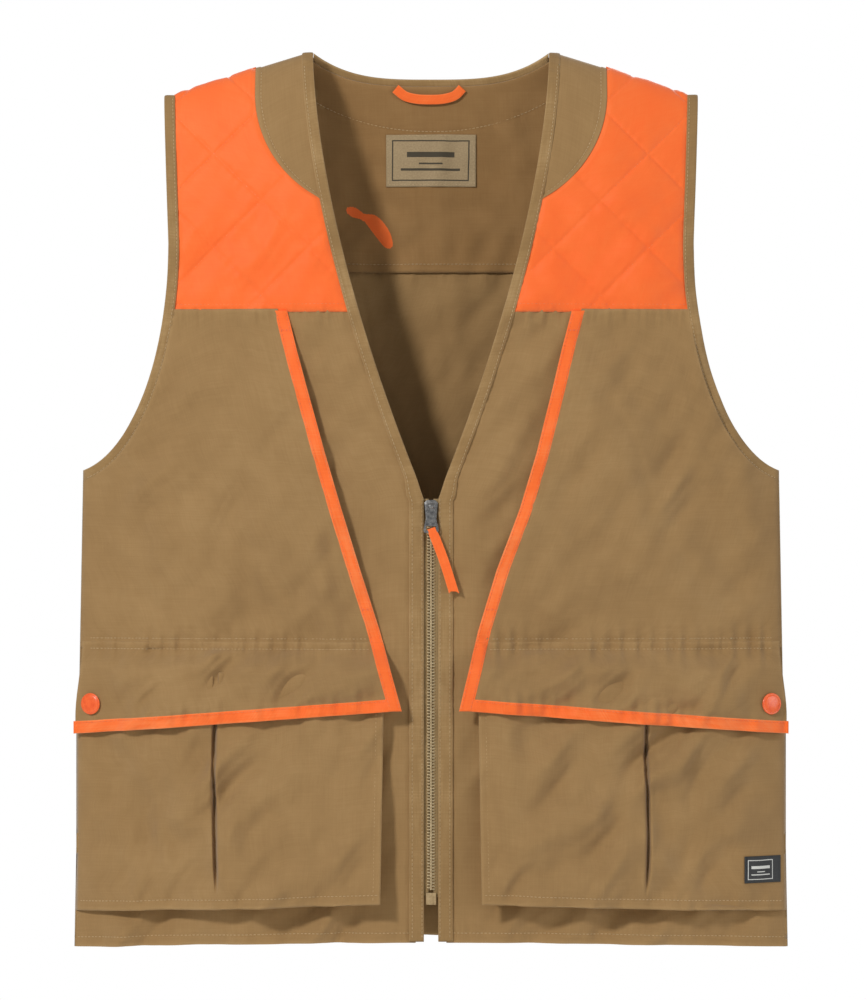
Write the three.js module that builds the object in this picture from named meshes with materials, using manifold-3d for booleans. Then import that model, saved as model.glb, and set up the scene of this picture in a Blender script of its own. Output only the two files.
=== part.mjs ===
// Upland hunting vest: khaki shell, blaze orange quilted shoulders, tapes and snaps.
// Millimetres, +Z up, +X towards the wearer's left, the front faces -Y.
// The origin is the middle of the line between the two high neck points.
import * as THREE from "three";
import * as BufferGeometryUtils from "three/addons/utils/BufferGeometryUtils.js";
import Module from "manifold-3d";

const wasm = await Module();
wasm.setup();
const { lerp, smoothstep, degToRad } = THREE.MathUtils;

// ---- Driving dimensions: the garment's outline -------------------------------------
const NECK_HALF = 97.3; // centre line to the high neck point
const NECK_EASE = 40; // how softly the shoulder line rounds across the neck
const SHOULDER_HALF = 220.6; // centre line to the shoulder tip
const SHOULDER_DROP = 38.5; // shoulder tip below the neck point
const BACK_NECK_DROP = 21.2;
const BACK_NECK_POWER = 3.34;
const V_DROP = 372; // bottom of the V opening, where the zip starts
const V_BOTTOM_HALF = 4.7; // centre line to the front edge beside the zip
const V_POWER = 1.65; // how much the V edge bows
const CHEST_HALF = 216; // narrowest half width between the armholes
const CHEST_DROP = 162;
const ARMHOLE_REACH = 84; // the lower armhole is part of an ellipse of this half width
const UNDERARM_HALF = 287.8;
const UNDERARM_DROP = 348.5;
const HEM_HALF = 295;
const HEM_DROP = 742; // the hem at the side seams
const HEM_RISE = 6.5; // the hem is this much higher at the centre

// ---- The body form, how far each half stands off the plane through the side seams ---
const FRONT_DEPTH = 40;
const BACK_DEPTH = 36;
const LENS_POWER = 2.4;
const LENS_ROUND = 0.75;
const SHOULDER_ROUND = 170; // height over which the form falls to the shoulder line

// ---- Cloth, trims and clearances ----------------------------------------------------
const CLOTH = 1.2;
const SEAM_GAP = 0.4; // between neighbours sewn edge to edge
const LAYER_GAP = 0.8; // between layers that lie on each other
const PADDING = 3.6; // thickness of the quilted shoulders
const BINDING = 2.4; // thickness of a folded edge binding
const NECK_BINDING_WIDTH = 9.4;
const ARMHOLE_BINDING_WIDTH = 9;
const BACK_NECK_BINDING_WIDTH = 6;
const TAPE_WIDTH = 10.4;
const TAPE_PROUD = 0.6; // how far an orange tape stands off the cloth that it binds
const LINING_DROP = 8; // linings stop this far under the shoulder line
const LINING_DEPTH = 3.8; // from the form in to the lining's inner face

// ---- Yokes and neck patch -------------------------------------------------------------
const YOKE_DROP = 218.9; // seam under the orange shoulders
const BACK_YOKE_DROP = 180.4;
const PATCH_X = 44.3; // centre of the neck patch's round edge
const PATCH_DROP = 37;
const PATCH_RADIUS = 100;
const PATCH_TIP_CLEAR = 5; // the patch stops this far above its pointed tip
const BACK_BAND_DROP = 62;
const BAND_GAP = 1.6; // between the neck band and its neighbours

// ---- Front pockets ------------------------------------------------------------------
const SLANT_TOP_HALF = 121.4; // centre line of the slanted tape, at the yoke seam
const SLANT_BOTTOM_HALF = 28.7; // and at the flap's lower corner
const FLAP_SEAM_DROP = 491;
const FLAP_CORNER_DROP = 545.3; // lower edge of the flap at its inner corner
const FLAP_SIDE_DROP = 565.8; // and at the side
const HAND_POCKET_GAPE = 9; // how far the hand pocket stands open at its mouth
const POCKET_HALF = 38.3; // centre line to the cargo pocket
const POCKET_LEAN = 3.1; // its inner edge leans out by this much at the bottom
const POCKET_MOUTH_DROP = 514;
const POCKET_INNER_DROP = 702.7;
const POCKET_SIDE_DROP = 711.8;
const BELLOWS = 20; // depth of the cargo pocket at its bottom
const MOUTH_DEPTH = 9; // and at its mouth, under the flap
const FLAP_RISE = 20; // the flap clears the pocket this far below its seam

// ---- Game bag on the back ------------------------------------------------------------
const BAG_HALF = 250;
const BAG_TOP_DROP = 430;
const BAG_BOTTOM_DROP = 704;
const BAG_DEPTH = 26;

// ---- Zip ----------------------------------------------------------------------------
const TOOTH_PITCH = 4.6;
const TOOTH_HEIGHT = 1.8;
const TOOTH_TIP = 1.5; // how far a tooth passes the centre line
const CHAIN_INNER = 1.9; // the beads that carry the teeth lie between these
const CHAIN_HALF = 3.4;
const CHAIN_THICKNESS = 3;
const ZIP_TAPE = 0.8;
const ZIP_TAPE_HALF = 14;
const TAPE_OVERLAP = 0.3; // how far the tape reaches into its bead
const BOX_TOP_DROP = 694.5;
const BOX_BOTTOM_DROP = 704.4;
const BOX_HALF = 4.2;
const BOX_THICKNESS = 5;
const PIN_INNER = 1.2; // the pins under the chain lie between these
const PIN_HALF = 3.1;
const PIN_LENGTH = 7.5;
const PIN_THICKNESS = 2;
const BOX_CLEARANCE = 0.4;
const SLIDER_HALF = 5.4;
const SLIDER_LENGTH = 15;
const SLIDER_TOP_DROP = 373;
const SLIDER_PLATE = 1.6;
const SLIDER_CLEARANCE = 0.5;
const BRIDGE_HALF = 1.3;
const BRIDGE_LENGTH = 7;
const PIVOT_RADIUS = 0.9;
const PIVOT_RISE = 2.8; // centre of the puller's pivot in front of the slider's plate
const PIVOT_BELOW = 5; // and below the slider's top
const PIVOT_CLEARANCE = 0.35;
const EYE_RADIUS = 2.1;
const EYE_HALF = 2;
const LUG = 1; // thickness of the two lugs that hold the pivot
const PULLER_LENGTH = 22; // from the pivot to the lower edge
const PULLER_BOTTOM_HALF = 6.4;
const PULLER_THICKNESS = 1.5;
const SLOT_HALF = 4;
const SLOT_HEIGHT = 3.4;
const SLOT_BAR = 2.2; // metal left under the slot
const RIBBON_WIDTH = 8;
const RIBBON_NECK = 4.4; // the ribbon is folded narrower where it passes the slot
const RIBBON_THICKNESS = 1.8;
const RIBBON_WALL = 1;
const RIBBON_LENGTH = 58;
const RIBBON_CLEARANCE = 0.5;
const RIBBON_TILT = 20; // degrees that the ribbon leans to the wearer's left

// ---- Snaps ---------------------------------------------------------------------------
const SNAP_HALF = 277; // centre line to the snap
const SNAP_DROP = 540.7;
const CAP_RADIUS = 8.9;
const CAP_DOME = 2.2;
const SHANK_RADIUS = 1.8;
const SHANK_CLEARANCE = 0.4;
const SOCKET_RADIUS = 6;
const SOCKET_ROOF = 0.8; // thickness of the socket over its cavity
const STUD_RADIUS = 3;
const STUD_HEIGHT = 1.4;
const STUD_CLEARANCE = 0.9;
const SNAP_CLEARANCE = 0.3;
const FLANGE = 0.6; // thickness of the stud's and the post's flanges
const SNAP_SEAT = 0.8; // room between a snap part and the curved cloth it sits on

// ---- Labels and hang loop --------------------------------------------------------------
const LABEL_HALF = 37.5;
const LABEL_TOP_DROP = 69.5;
const LABEL_HEIGHT = 44;
const LABEL_THICKNESS = 0.9;
const BADGE_CENTRE = 273; // centre line to the badge's middle
const BADGE_WIDTH = 31;
const BADGE_HEIGHT = 22;
const BADGE_DROP = 677;
const LOOP_HALF = 25; // half the loop's inner width at the top
const LOOP_SAG = 8; // how far its inner edge hangs
const LOOP_WIDTH = 8;
const LOOP_THICKNESS = 1.6;
const LOOP_SHIFT = -2; // the loop is sewn on slightly off centre

// ---- Finishes --------------------------------------------------------------------------
const KHAKI = { color: 0x9a7c54, roughness: 0.85, metalness: 0 };
const LINING = { color: 0x86683f, roughness: 0.85, metalness: 0 };
const ORANGE = { color: 0xff6a26, roughness: 0.7, metalness: 0 };
const SNAP_ENAMEL = { color: 0xf2561d, roughness: 0.35, metalness: 0 };
const STEEL = { color: 0x8a8a88, roughness: 0.35, metalness: 1 };
const GUNMETAL = { color: 0x3d3d3f, roughness: 0.35, metalness: 1 };
const ZIP_BRASS = { color: 0xb8a27c, roughness: 0.5, metalness: 0.2 };
const LABEL_TAN = { color: 0xa8906a, roughness: 0.8, metalness: 0 };
const BADGE_BLACK = { color: 0x17191b, roughness: 0.6, metalness: 0 };

const vest = new THREE.Group();

// Adds a geometry to the vest as a named piece with its own material.
function piece(name, finish, geometry) {
  const mesh = new THREE.Mesh(geometry, new THREE.MeshStandardMaterial(finish));
  mesh.name = name;
  vest.add(mesh);
  return mesh;
}

// ---- Outline of the garment ------------------------------------------------------------
const shoulderArc = (x) => Math.hypot(x, NECK_EASE) - Math.hypot(NECK_HALF, NECK_EASE);
const SHOULDER_SLOPE = SHOULDER_DROP / shoulderArc(SHOULDER_HALF);
const shoulderZ = (x) => -SHOULDER_SLOPE * shoulderArc(x);
const backNeckZ = (x) => -BACK_NECK_DROP * (1 - Math.abs(x / NECK_HALF) ** BACK_NECK_POWER);
const hemZ = (x) => HEM_RISE * (1 - (x / HEM_HALF) ** 2) - HEM_DROP;

// Half width of the garment at a height, measured to the side seam.
function sideHalf(z) {
  const share = (-z - UNDERARM_DROP) / (HEM_DROP - UNDERARM_DROP);
  return lerp(UNDERARM_HALF, HEM_HALF, Math.max(0, share));
}

// The V edge and the straight front edge under it, moved into the garment by inset.
function frontEdgeX(z, inset = 0) {
  const share = Math.min(1, Math.max(0, -z / V_DROP));
  const reach = NECK_HALF - V_BOTTOM_HALF;
  const slope = share < 1 ? (V_POWER * reach * share ** (V_POWER - 1)) / V_DROP : 0;
  return NECK_HALF - reach * share ** V_POWER + inset * Math.hypot(1, slope);
}

// The armhole's lower stretch is an ellipse about a centre outside the side seam.
const ELLIPSE_X = CHEST_HALF + ARMHOLE_REACH;
const ELLIPSE_SIDE = (ELLIPSE_X - UNDERARM_HALF) / ARMHOLE_REACH;
const ELLIPSE_DROP = (UNDERARM_DROP - CHEST_DROP) / Math.sqrt(1 - ELLIPSE_SIDE ** 2);

function armholeX(z, inset = 0) {
  if (z > -CHEST_DROP) {
    const share = (CHEST_DROP + z) / (CHEST_DROP - SHOULDER_DROP);
    return lerp(CHEST_HALF, SHOULDER_HALF, share) - inset;
  }
  const share = (z + CHEST_DROP) / (ELLIPSE_DROP + inset);
  return ELLIPSE_X - (ARMHOLE_REACH + inset) * Math.sqrt(1 - share ** 2);
}

// A point of the lower armhole between the height zTop (share 0) and the side seam (1).
function armholePoint(zTop, share, inset = 0) {
  const across = ARMHOLE_REACH + inset;
  const down = ELLIPSE_DROP + inset;
  const first = Math.asin((-CHEST_DROP - zTop) / down);
  const last = Math.acos((ELLIPSE_X - UNDERARM_HALF + SEAM_GAP) / across);
  const angle = lerp(first, last, share);
  return [ELLIPSE_X - across * Math.cos(angle), -CHEST_DROP - down * Math.sin(angle)];
}

// ---- Body form -------------------------------------------------------------------------
function form(x, z, depth) {
  const share = Math.min(1, Math.abs(x) / sideHalf(z));
  const lens = (1 - share ** LENS_POWER) ** LENS_ROUND;
  const below = Math.min(1, Math.max(0, shoulderZ(x) - z) / SHOULDER_ROUND);
  return depth * lens * Math.sqrt(1 - (1 - below) ** 2);
}

// Surfaces that lie `out` millimetres off the form; out is a number or a function.
const value = (out, x, z) => (typeof out === "function" ? out(x, z) : out);
const front = (out) => (x, z) => -(form(x, z, FRONT_DEPTH) + SEAM_GAP + value(out, x, z));
const back = (out) => (x, z) => form(x, z, BACK_DEPTH) + SEAM_GAP + value(out, x, z);

// A cloth piece: a box bent so that plan(u, v) gives its outline in x and z, with u
// across and v upwards, between the surfaces yLow and yHigh. side -1 mirrors it.
function bentBox(plan, [across, along], yLow, yHigh, side = 1) {
  const geometry = new THREE.BoxGeometry(1, 1, 1, across, 1, along);
  const at = geometry.attributes.position;
  for (let i = 0; i < at.count; i++) {
    const u = at.getX(i) + 0.5;
    const v = at.getZ(i) + 0.5;
    const [x, z] = plan(side > 0 ? u : 1 - u, v);
    const y = lerp(yLow(x, z), yHigh(x, z), at.getY(i) + 0.5);
    at.setXYZ(i, side * x, y, z);
  }
  geometry.computeVertexNormals();
  return geometry;
}

// An outline between a left and a right edge, each a function of v that gives [x, z].
const between = (left, right) => (u, v) => {
  const [a, b] = [left(v), right(v)];
  return [lerp(a[0], b[0], u), lerp(a[1], b[1], u)];
};

// An outline between a lower and an upper edge, over x from x0 to x1.
const over = (x0, x1, lower, upper, ease = 1) => (u, v) => {
  const x = lerp(x0, x1, u);
  return [x, lerp(upper(x), lower(x), (1 - v) ** ease)];
};

// An outline with four corners: lower left, lower right, upper left, upper right.
const quad = (lowLeft, lowRight, highLeft, highRight) => (u, v) =>
  [0, 1].map((k) =>
    lerp(lerp(lowLeft[k], lowRight[k], u), lerp(highLeft[k], highRight[k], u), v),
  );

// A band of a width beside a path; the path runs so that the band lies on its right.
const band = (path, width) => (u, v) => {
  const here = path.getPointAt(v);
  const way = path.getTangentAt(v);
  return [here.x + way.y * width * u, here.y - way.x * width * u];
};

// ---- Booleans --------------------------------------------------------------------------
function solid(geometry) {
  const plain = geometry.clone();
  plain.deleteAttribute("normal");
  plain.deleteAttribute("uv");
  const merged = BufferGeometryUtils.mergeVertices(plain, 1e-4);
  return new wasm.Manifold(
    new wasm.Mesh({
      numProp: 3,
      vertProperties: new Float32Array(merged.attributes.position.array),
      triVerts: new Uint32Array(merged.index.array),
    }),
  );
}

function fromSolid(manifold) {
  const mesh = manifold.getMesh();
  const geometry = new THREE.BufferGeometry();
  geometry.setAttribute("position", new THREE.BufferAttribute(mesh.vertProperties, 3));
  geometry.setIndex(new THREE.BufferAttribute(mesh.triVerts, 1));
  geometry.computeVertexNormals();
  return geometry;
}

// A box between two corners.
function block([x0, y0, z0], [x1, y1, z1]) {
  const geometry = new THREE.BoxGeometry(x1 - x0, y1 - y0, z1 - z0);
  return geometry.translate((x0 + x1) / 2, (y0 + y1) / 2, (z0 + z1) / 2);
}

// A flat outline in x and z, extruded from y0 to y1.
function plate(outline, y0, y1, holes = []) {
  const shape = new THREE.Shape(outline.map(([x, z]) => new THREE.Vector2(x, z)));
  shape.holes = holes.map((hole) => new THREE.Path(hole.map(([x, z]) => new THREE.Vector2(x, z))));
  const geometry = new THREE.ExtrudeGeometry(shape, { depth: y1 - y0, bevelEnabled: false });
  return geometry.rotateX(Math.PI / 2).translate(0, y1, 0);
}

// ---- Shoulders and back ----------------------------------------------------------------
const ARM_ROWS = 7; // rows of a side edge that lie along the lower armhole
const BACK_YOKE_ROWS = 7;
const EASE = 1.8; // rows crowd towards the shoulder line, where the form turns over
const BINDING_INSET = NECK_BINDING_WIDTH + SEAM_GAP;
const ARM_INSET = ARMHOLE_BINDING_WIDTH + SEAM_GAP;

// A height between a top and a bottom, with v upwards.
const eased = (top, bottom, v) => lerp(top, bottom, (1 - v) ** EASE);

// The neck patch's outer edge at a height, moved outwards by inset.
function patchX(z, inset = 0) {
  const down = Math.min(Math.max(0, -PATCH_DROP - z), PATCH_RADIUS);
  return PATCH_X + inset + Math.sqrt(PATCH_RADIUS ** 2 - down ** 2);
}

// The yoke starts beside the patch, and under the patch's tip beside the binding.
const yokeInnerX = (z, inset) => Math.max(patchX(z, inset), frontEdgeX(z, BINDING_INSET));

// The height where the patch's round edge meets the neck binding, found by halving.
function patchTip() {
  let [high, low] = [-PATCH_DROP, -PATCH_DROP - PATCH_RADIUS];
  for (let i = 0; i < 30; i++) {
    const middle = (high + low) / 2;
    const open = patchX(middle) > frontEdgeX(middle, BINDING_INSET);
    [high, low] = open ? [middle, low] : [high, middle];
  }
  return high;
}
const PATCH_BOTTOM = patchTip() + PATCH_TIP_CLEAR;
const PATCH_OUTER = PATCH_X + PATCH_RADIUS;

// An edge that runs up from zBottom to where it meets the shoulder line less a drop.
const upTo = (edgeX, zBottom, drop = 0) => {
  const top = shoulderZ(edgeX(0)) - drop;
  return (v) => {
    const z = eased(top, zBottom, v);
    return [edgeX(z), z];
  };
};
const PATCH_ROWS = 9;
const TIP_ROWS = 5; // rows of the yoke below the patch's tip
const TIP_SHARE = TIP_ROWS / (TIP_ROWS + PATCH_ROWS);

// An edge of the front yoke, whose upper rows meet the patch's rows.
const yokeEdge = (edgeX) => (v) => {
  const top = shoulderZ(edgeX(0));
  const above = (v - TIP_SHARE) / (1 - TIP_SHARE);
  const low = lerp(-YOKE_DROP, PATCH_BOTTOM, v / TIP_SHARE);
  const z = above > 0 ? eased(top, PATCH_BOTTOM, above) : low;
  return [edgeX(z), z];
};
const armEdge = (z) => armholeX(Math.min(z, -SHOULDER_DROP), ARM_INSET);
const armOuter = (z) => armholeX(Math.min(z, -SHOULDER_DROP));
const neckEdge = (z) => frontEdgeX(z, BINDING_INSET);

for (const [wearers, side] of [["right", -1], ["left", 1]]) {
  const yoke = between(yokeEdge((z) => yokeInnerX(z, SEAM_GAP)), yokeEdge(armEdge));
  piece(
    `${wearers}_shoulder_yoke`,
    ORANGE,
    bentBox(yoke, [6, TIP_ROWS + PATCH_ROWS], front(PADDING), front(0), side),
  );

  const lining = between(
    upTo(neckEdge, -YOKE_DROP, LINING_DROP),
    upTo(armEdge, -YOKE_DROP, LINING_DROP),
  );
  piece(
    `${wearers}_yoke_lining`,
    LINING,
    bentBox(lining, [6, 10], front(CLOTH - LINING_DEPTH), front(-LINING_DEPTH), side),
  );

  const patch = between(upTo(neckEdge, PATCH_BOTTOM), upTo((z) => patchX(z), PATCH_BOTTOM));
  piece(
    `${wearers}_neck_patch`,
    KHAKI,
    bentBox(patch, [3, PATCH_ROWS], front(CLOTH + TAPE_PROUD), front(0), side),
  );

  const neckBinding = between(
    upTo((z) => frontEdgeX(z), -YOKE_DROP),
    upTo((z) => frontEdgeX(z, NECK_BINDING_WIDTH), -YOKE_DROP),
  );
  piece(
    `${wearers}_neck_binding`,
    KHAKI,
    bentBox(neckBinding, [1, 12], front(BINDING), front(0), side),
  );

  const bindingInner = (z) => armholeX(Math.min(z, -SHOULDER_DROP), ARMHOLE_BINDING_WIDTH);
  const armBinding = between(upTo(bindingInner, -YOKE_DROP), upTo(armOuter, -YOKE_DROP));
  piece(
    `${wearers}_armhole_binding_yoke`,
    KHAKI,
    bentBox(armBinding, [1, 10], front(BINDING), front(0), side),
  );

  // The back's binding runs on past the yoke down to the underarm.
  const turn = ARM_ROWS / (ARM_ROWS + BACK_YOKE_ROWS);
  const backEdge = (edgeX, inset) => (v) => {
    if (v < turn) return armholePoint(-BACK_YOKE_DROP, 1 - v / turn, inset);
    const z = eased(shoulderZ(edgeX(0)), -BACK_YOKE_DROP, (v - turn) / (1 - turn));
    return [edgeX(z), z];
  };
  const backBinding = between(
    backEdge(bindingInner, ARMHOLE_BINDING_WIDTH),
    backEdge(armOuter, 0),
  );
  piece(
    `${wearers}_armhole_binding_back`,
    KHAKI,
    bentBox(backBinding, [1, ARM_ROWS + BACK_YOKE_ROWS], back(0), back(BINDING), side),
  );
}

// Upper edge of the neck band: under the neck binding, then up to the shoulder line.
const NECK_REACH = NECK_HALF + BACK_NECK_BINDING_WIDTH;
function neckLine(x) {
  const out = Math.abs(x);
  if (out > NECK_REACH) return shoulderZ(x);
  const beside = Math.max(0, (out - NECK_HALF) / BACK_NECK_BINDING_WIDTH);
  const under = backNeckZ(Math.min(out, NECK_HALF)) - BACK_NECK_BINDING_WIDTH - BAND_GAP;
  return lerp(under, shoulderZ(NECK_REACH), beside);
}
const bandBottom = (x) => {
  const rise = Math.abs(x / PATCH_OUTER) ** 3;
  return lerp(-BACK_BAND_DROP, shoulderZ(PATCH_OUTER), Math.min(1, rise));
};
const BACK_ARM = armholeX(-SHOULDER_DROP, ARM_INSET);

piece(
  "back_neck_binding",
  KHAKI,
  bentBox(
    over(-NECK_HALF, NECK_HALF, (x) => backNeckZ(x) - BACK_NECK_BINDING_WIDTH, backNeckZ),
    [16, 1],
    back(0),
    back(BINDING),
  ),
);
const bandPlan = over(SEAM_GAP - PATCH_OUTER, PATCH_OUTER - SEAM_GAP, bandBottom, neckLine, EASE);
piece("back_neck_band", KHAKI, bentBox(bandPlan, [18, 3], back(0), back(CLOTH + TAPE_PROUD)));

const yokeTop = (x) => (Math.abs(x) < PATCH_OUTER ? bandBottom(x) - BAND_GAP : shoulderZ(x));
const backYokeEdge = (u, v) => {
  const reach = (z) => armholeX(Math.min(z, -SHOULDER_DROP), ARM_INSET);
  const share = 2 * u - 1;
  const top = yokeTop(share * BACK_ARM);
  const z = eased(top, -BACK_YOKE_DROP, v);
  return [share * reach(z), z];
};
piece(
  "back_yoke",
  ORANGE,
  bentBox(backYokeEdge, [18, BACK_YOKE_ROWS], back(0), back(PADDING)),
);

const liningPlan = (u, v) => {
  const share = 2 * u - 1;
  const top = neckLine(share * BACK_ARM) - LINING_DROP;
  const z = eased(top, -BACK_YOKE_DROP, v);
  return [share * armholeX(Math.min(z, -SHOULDER_DROP), ARM_INSET), z];
};
piece(
  "back_yoke_lining",
  LINING,
  bentBox(liningPlan, [18, BACK_YOKE_ROWS], back(-LINING_DEPTH), back(CLOTH - LINING_DEPTH)),
);

// The back panel runs from the yoke seam past the underarms to the hem.
const SIDE_ROWS = 5; // rows of a side edge that lie along the side seam
const SIDE_SHARE = SIDE_ROWS / (SIDE_ROWS + ARM_ROWS);
const sideEdge = (zTop, zBottom) => (v) => {
  const above = (1 - v) / (1 - SIDE_SHARE);
  if (above < 1) return armholePoint(zTop, above, ARM_INSET);
  const [, underarm] = armholePoint(zTop, 1, ARM_INSET);
  const z = lerp(zBottom, underarm, v / SIDE_SHARE);
  return [sideHalf(z) - SEAM_GAP, z];
};
const backSide = sideEdge(-BACK_YOKE_DROP - SEAM_GAP, hemZ(HEM_HALF));
const backPlan = (u, v) => {
  const share = 2 * u - 1;
  const [reach, z] = backSide(v);
  const x = share * reach;
  const level = lerp(hemZ(x), -BACK_YOKE_DROP - SEAM_GAP, v);
  return [x, lerp(level, z, Math.abs(share) ** 2)];
};
piece(
  "back_panel",
  KHAKI,
  bentBox(backPlan, [18, SIDE_ROWS + ARM_ROWS], back(0), back(CLOTH)),
);

// ---- Fronts ----------------------------------------------------------------------------
const frontTop = -YOKE_DROP - SEAM_GAP;
const hemEdge = (x) => (v) => lerp(hemZ(x), frontTop, v);

// The slanted tape's centre line, from the yoke seam to the flap's corner.
const slantX = (z) => {
  const share = (-z - YOKE_DROP) / (FLAP_CORNER_DROP - YOKE_DROP);
  return lerp(SLANT_TOP_HALF, SLANT_BOTTOM_HALF, share);
};
const SLANT_LENGTH = FLAP_CORNER_DROP - YOKE_DROP;
const SLANT_STRETCH = Math.hypot(1, (SLANT_TOP_HALF - SLANT_BOTTOM_HALF) / SLANT_LENGTH);
const slantEdge = (offset) => (z) => slantX(z) + offset * SLANT_STRETCH;
const tapeInner = slantEdge(-TAPE_WIDTH / 2);
const tapeOuter = slantEdge(TAPE_WIDTH / 2);
const panelInner = slantEdge(TAPE_WIDTH / 2 + SEAM_GAP);

// The hand pocket's panel stands off the front most at its slanted mouth.
const overlayBase = CLOTH + LAYER_GAP;
function overlayOut(x, z) {
  const down = smoothstep(-z, YOKE_DROP, YOKE_DROP + 70);
  const up = 1 - smoothstep(-z, FLAP_SEAM_DROP - 90, FLAP_SEAM_DROP);
  const across = Math.max(0, (x - slantX(z)) / (sideHalf(z) - slantX(z)));
  return overlayBase + HAND_POCKET_GAPE * down * up * (1 - Math.min(1, across)) ** 0.8;
}

// The cargo pocket's face: full bellows depth near the zip, flat at the side seam.
const pocketInner = (z) => {
  const share = (-z - POCKET_MOUTH_DROP) / (POCKET_INNER_DROP - POCKET_MOUTH_DROP);
  return lerp(POCKET_HALF, POCKET_HALF + POCKET_LEAN, share);
};
const pocketBottom = (x) => {
  const share = (x - POCKET_HALF) / (HEM_HALF - POCKET_HALF);
  return -lerp(POCKET_INNER_DROP, POCKET_SIDE_DROP, share);
};
function pocketOut(x, z) {
  const share = Math.min(1, Math.max(0, (x - POCKET_HALF) / (sideHalf(z) - POCKET_HALF)));
  const down = smoothstep(-z, FLAP_SIDE_DROP, POCKET_INNER_DROP);
  return overlayBase + lerp(MOUTH_DEPTH, BELLOWS, down) * (1 - share ** 3);
}

// Along a snap's axis, measured from the pocket's outer face.
const STUD_BASE = SNAP_SEAT;
const SOCKET_BASE = STUD_BASE + FLANGE + SNAP_CLEARANCE;
const CAVITY = STUD_HEIGHT + SNAP_CLEARANCE;
const SNAP_STACK = SOCKET_BASE + CAVITY + SOCKET_ROOF + SNAP_SEAT;
const CAP_BASE = SNAP_STACK + CLOTH + SNAP_SEAT;

// The snap faces square out of the curved pocket, so it turns towards the side.
const snapFace = (x) => -form(x, -SNAP_DROP, FRONT_DEPTH) - pocketOut(x, -SNAP_DROP);
const SNAP_TILT = Math.atan((snapFace(SNAP_HALF + 1) - snapFace(SNAP_HALF - 1)) / 2);
const FLAP_STAND_OFF = SNAP_STACK / Math.cos(SNAP_TILT);

// The flap leaves the front at its seam and passes over the pocket at its lower edge.
const flapBottom = (x) => {
  const share = (x - SLANT_BOTTOM_HALF) / (HEM_HALF - SLANT_BOTTOM_HALF);
  return -lerp(FLAP_CORNER_DROP, FLAP_SIDE_DROP, share);
};
const flapTop = -FLAP_SEAM_DROP - SEAM_GAP;
function flapOut(x, z) {
  const share = Math.min(1, (flapTop - z) / FLAP_RISE);
  const covered = pocketOut(Math.max(x, POCKET_HALF), z) + CLOTH + FLAP_STAND_OFF;
  return lerp(overlayBase, covered, Math.sin((share * Math.PI) / 2));
}
const plus = (out, more) => (x, z) => out(x, z) + more;

const flapTapeTop = (x) => flapBottom(x) + TAPE_WIDTH;
const FLAP_END = HEM_HALF - 1.5; // the flap ends just inside the side seam

// ---- Snap parts, turned about Y, pointing out of the front (-Y) ------------------------
const turned = (profile) => {
  const points = profile.map(([r, y]) => new THREE.Vector2(r, y));
  return new THREE.LatheGeometry(points, 16).rotateX(Math.PI);
};
const domed = (radius, low, high) => {
  const steps = [0.35, 0.7, 0.92, 1];
  return steps.map((s) => [radius * s, lerp(low, high, Math.sqrt(1 - s ** 2))]).reverse();
};
const BORE = SHANK_RADIUS + SHANK_CLEARANCE;
const HOLLOW = STUD_RADIUS + STUD_CLEARANCE;
const CAP_SHANK = SNAP_SEAT + CLOTH + SNAP_SEAT + SOCKET_ROOF / 2;
const POST_BASE = -CLOTH - SNAP_SEAT;
const snapShapes = {
  cap: [
    [0, CAP_BASE - CAP_SHANK], [SHANK_RADIUS, CAP_BASE - CAP_SHANK], [SHANK_RADIUS, CAP_BASE],
    [CAP_RADIUS - 0.8, CAP_BASE], ...domed(CAP_RADIUS, CAP_BASE + 0.7, CAP_BASE + CAP_DOME),
    [0, CAP_BASE + CAP_DOME],
  ],
  socket: [
    [HOLLOW, SOCKET_BASE], [SOCKET_RADIUS, SOCKET_BASE],
    [SOCKET_RADIUS, SOCKET_BASE + CAVITY + SOCKET_ROOF],
    [BORE, SOCKET_BASE + CAVITY + SOCKET_ROOF], [BORE, SOCKET_BASE + CAVITY],
    [HOLLOW, SOCKET_BASE + CAVITY], [HOLLOW, SOCKET_BASE],
  ],
  stud: [
    [BORE, STUD_BASE], [SOCKET_RADIUS, STUD_BASE], [SOCKET_RADIUS, STUD_BASE + FLANGE],
    [STUD_RADIUS, STUD_BASE + FLANGE], [STUD_RADIUS, STUD_BASE + FLANGE + STUD_HEIGHT],
    [BORE, STUD_BASE + FLANGE + STUD_HEIGHT], [BORE, STUD_BASE],
  ],
  post: [
    [0, POST_BASE - FLANGE], [SOCKET_RADIUS - 1, POST_BASE - FLANGE],
    [SOCKET_RADIUS - 1, POST_BASE], [SHANK_RADIUS, POST_BASE],
    [SHANK_RADIUS, STUD_BASE + FLANGE], [0, STUD_BASE + FLANGE],
  ],
};
const snapFinish = { cap: SNAP_ENAMEL, socket: STEEL, stud: STEEL, post: STEEL };
const snapY = front(plus(pocketOut, CLOTH))(SNAP_HALF, -SNAP_DROP);

// Puts a geometry made about Y at the snap's place on the pocket's outer face.
const seat = (geometry, side) =>
  geometry
    .rotateZ(side * SNAP_TILT)
    .translate(side * SNAP_HALF, snapY, -SNAP_DROP);

// A cloth piece with a round hole for a snap's shank.
function pierced(geometry, side) {
  const drill = new THREE.CylinderGeometry(BORE, BORE, 4 * CAP_BASE, 12);
  return fromSolid(solid(geometry).subtract(solid(seat(drill, side))));
}

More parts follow.
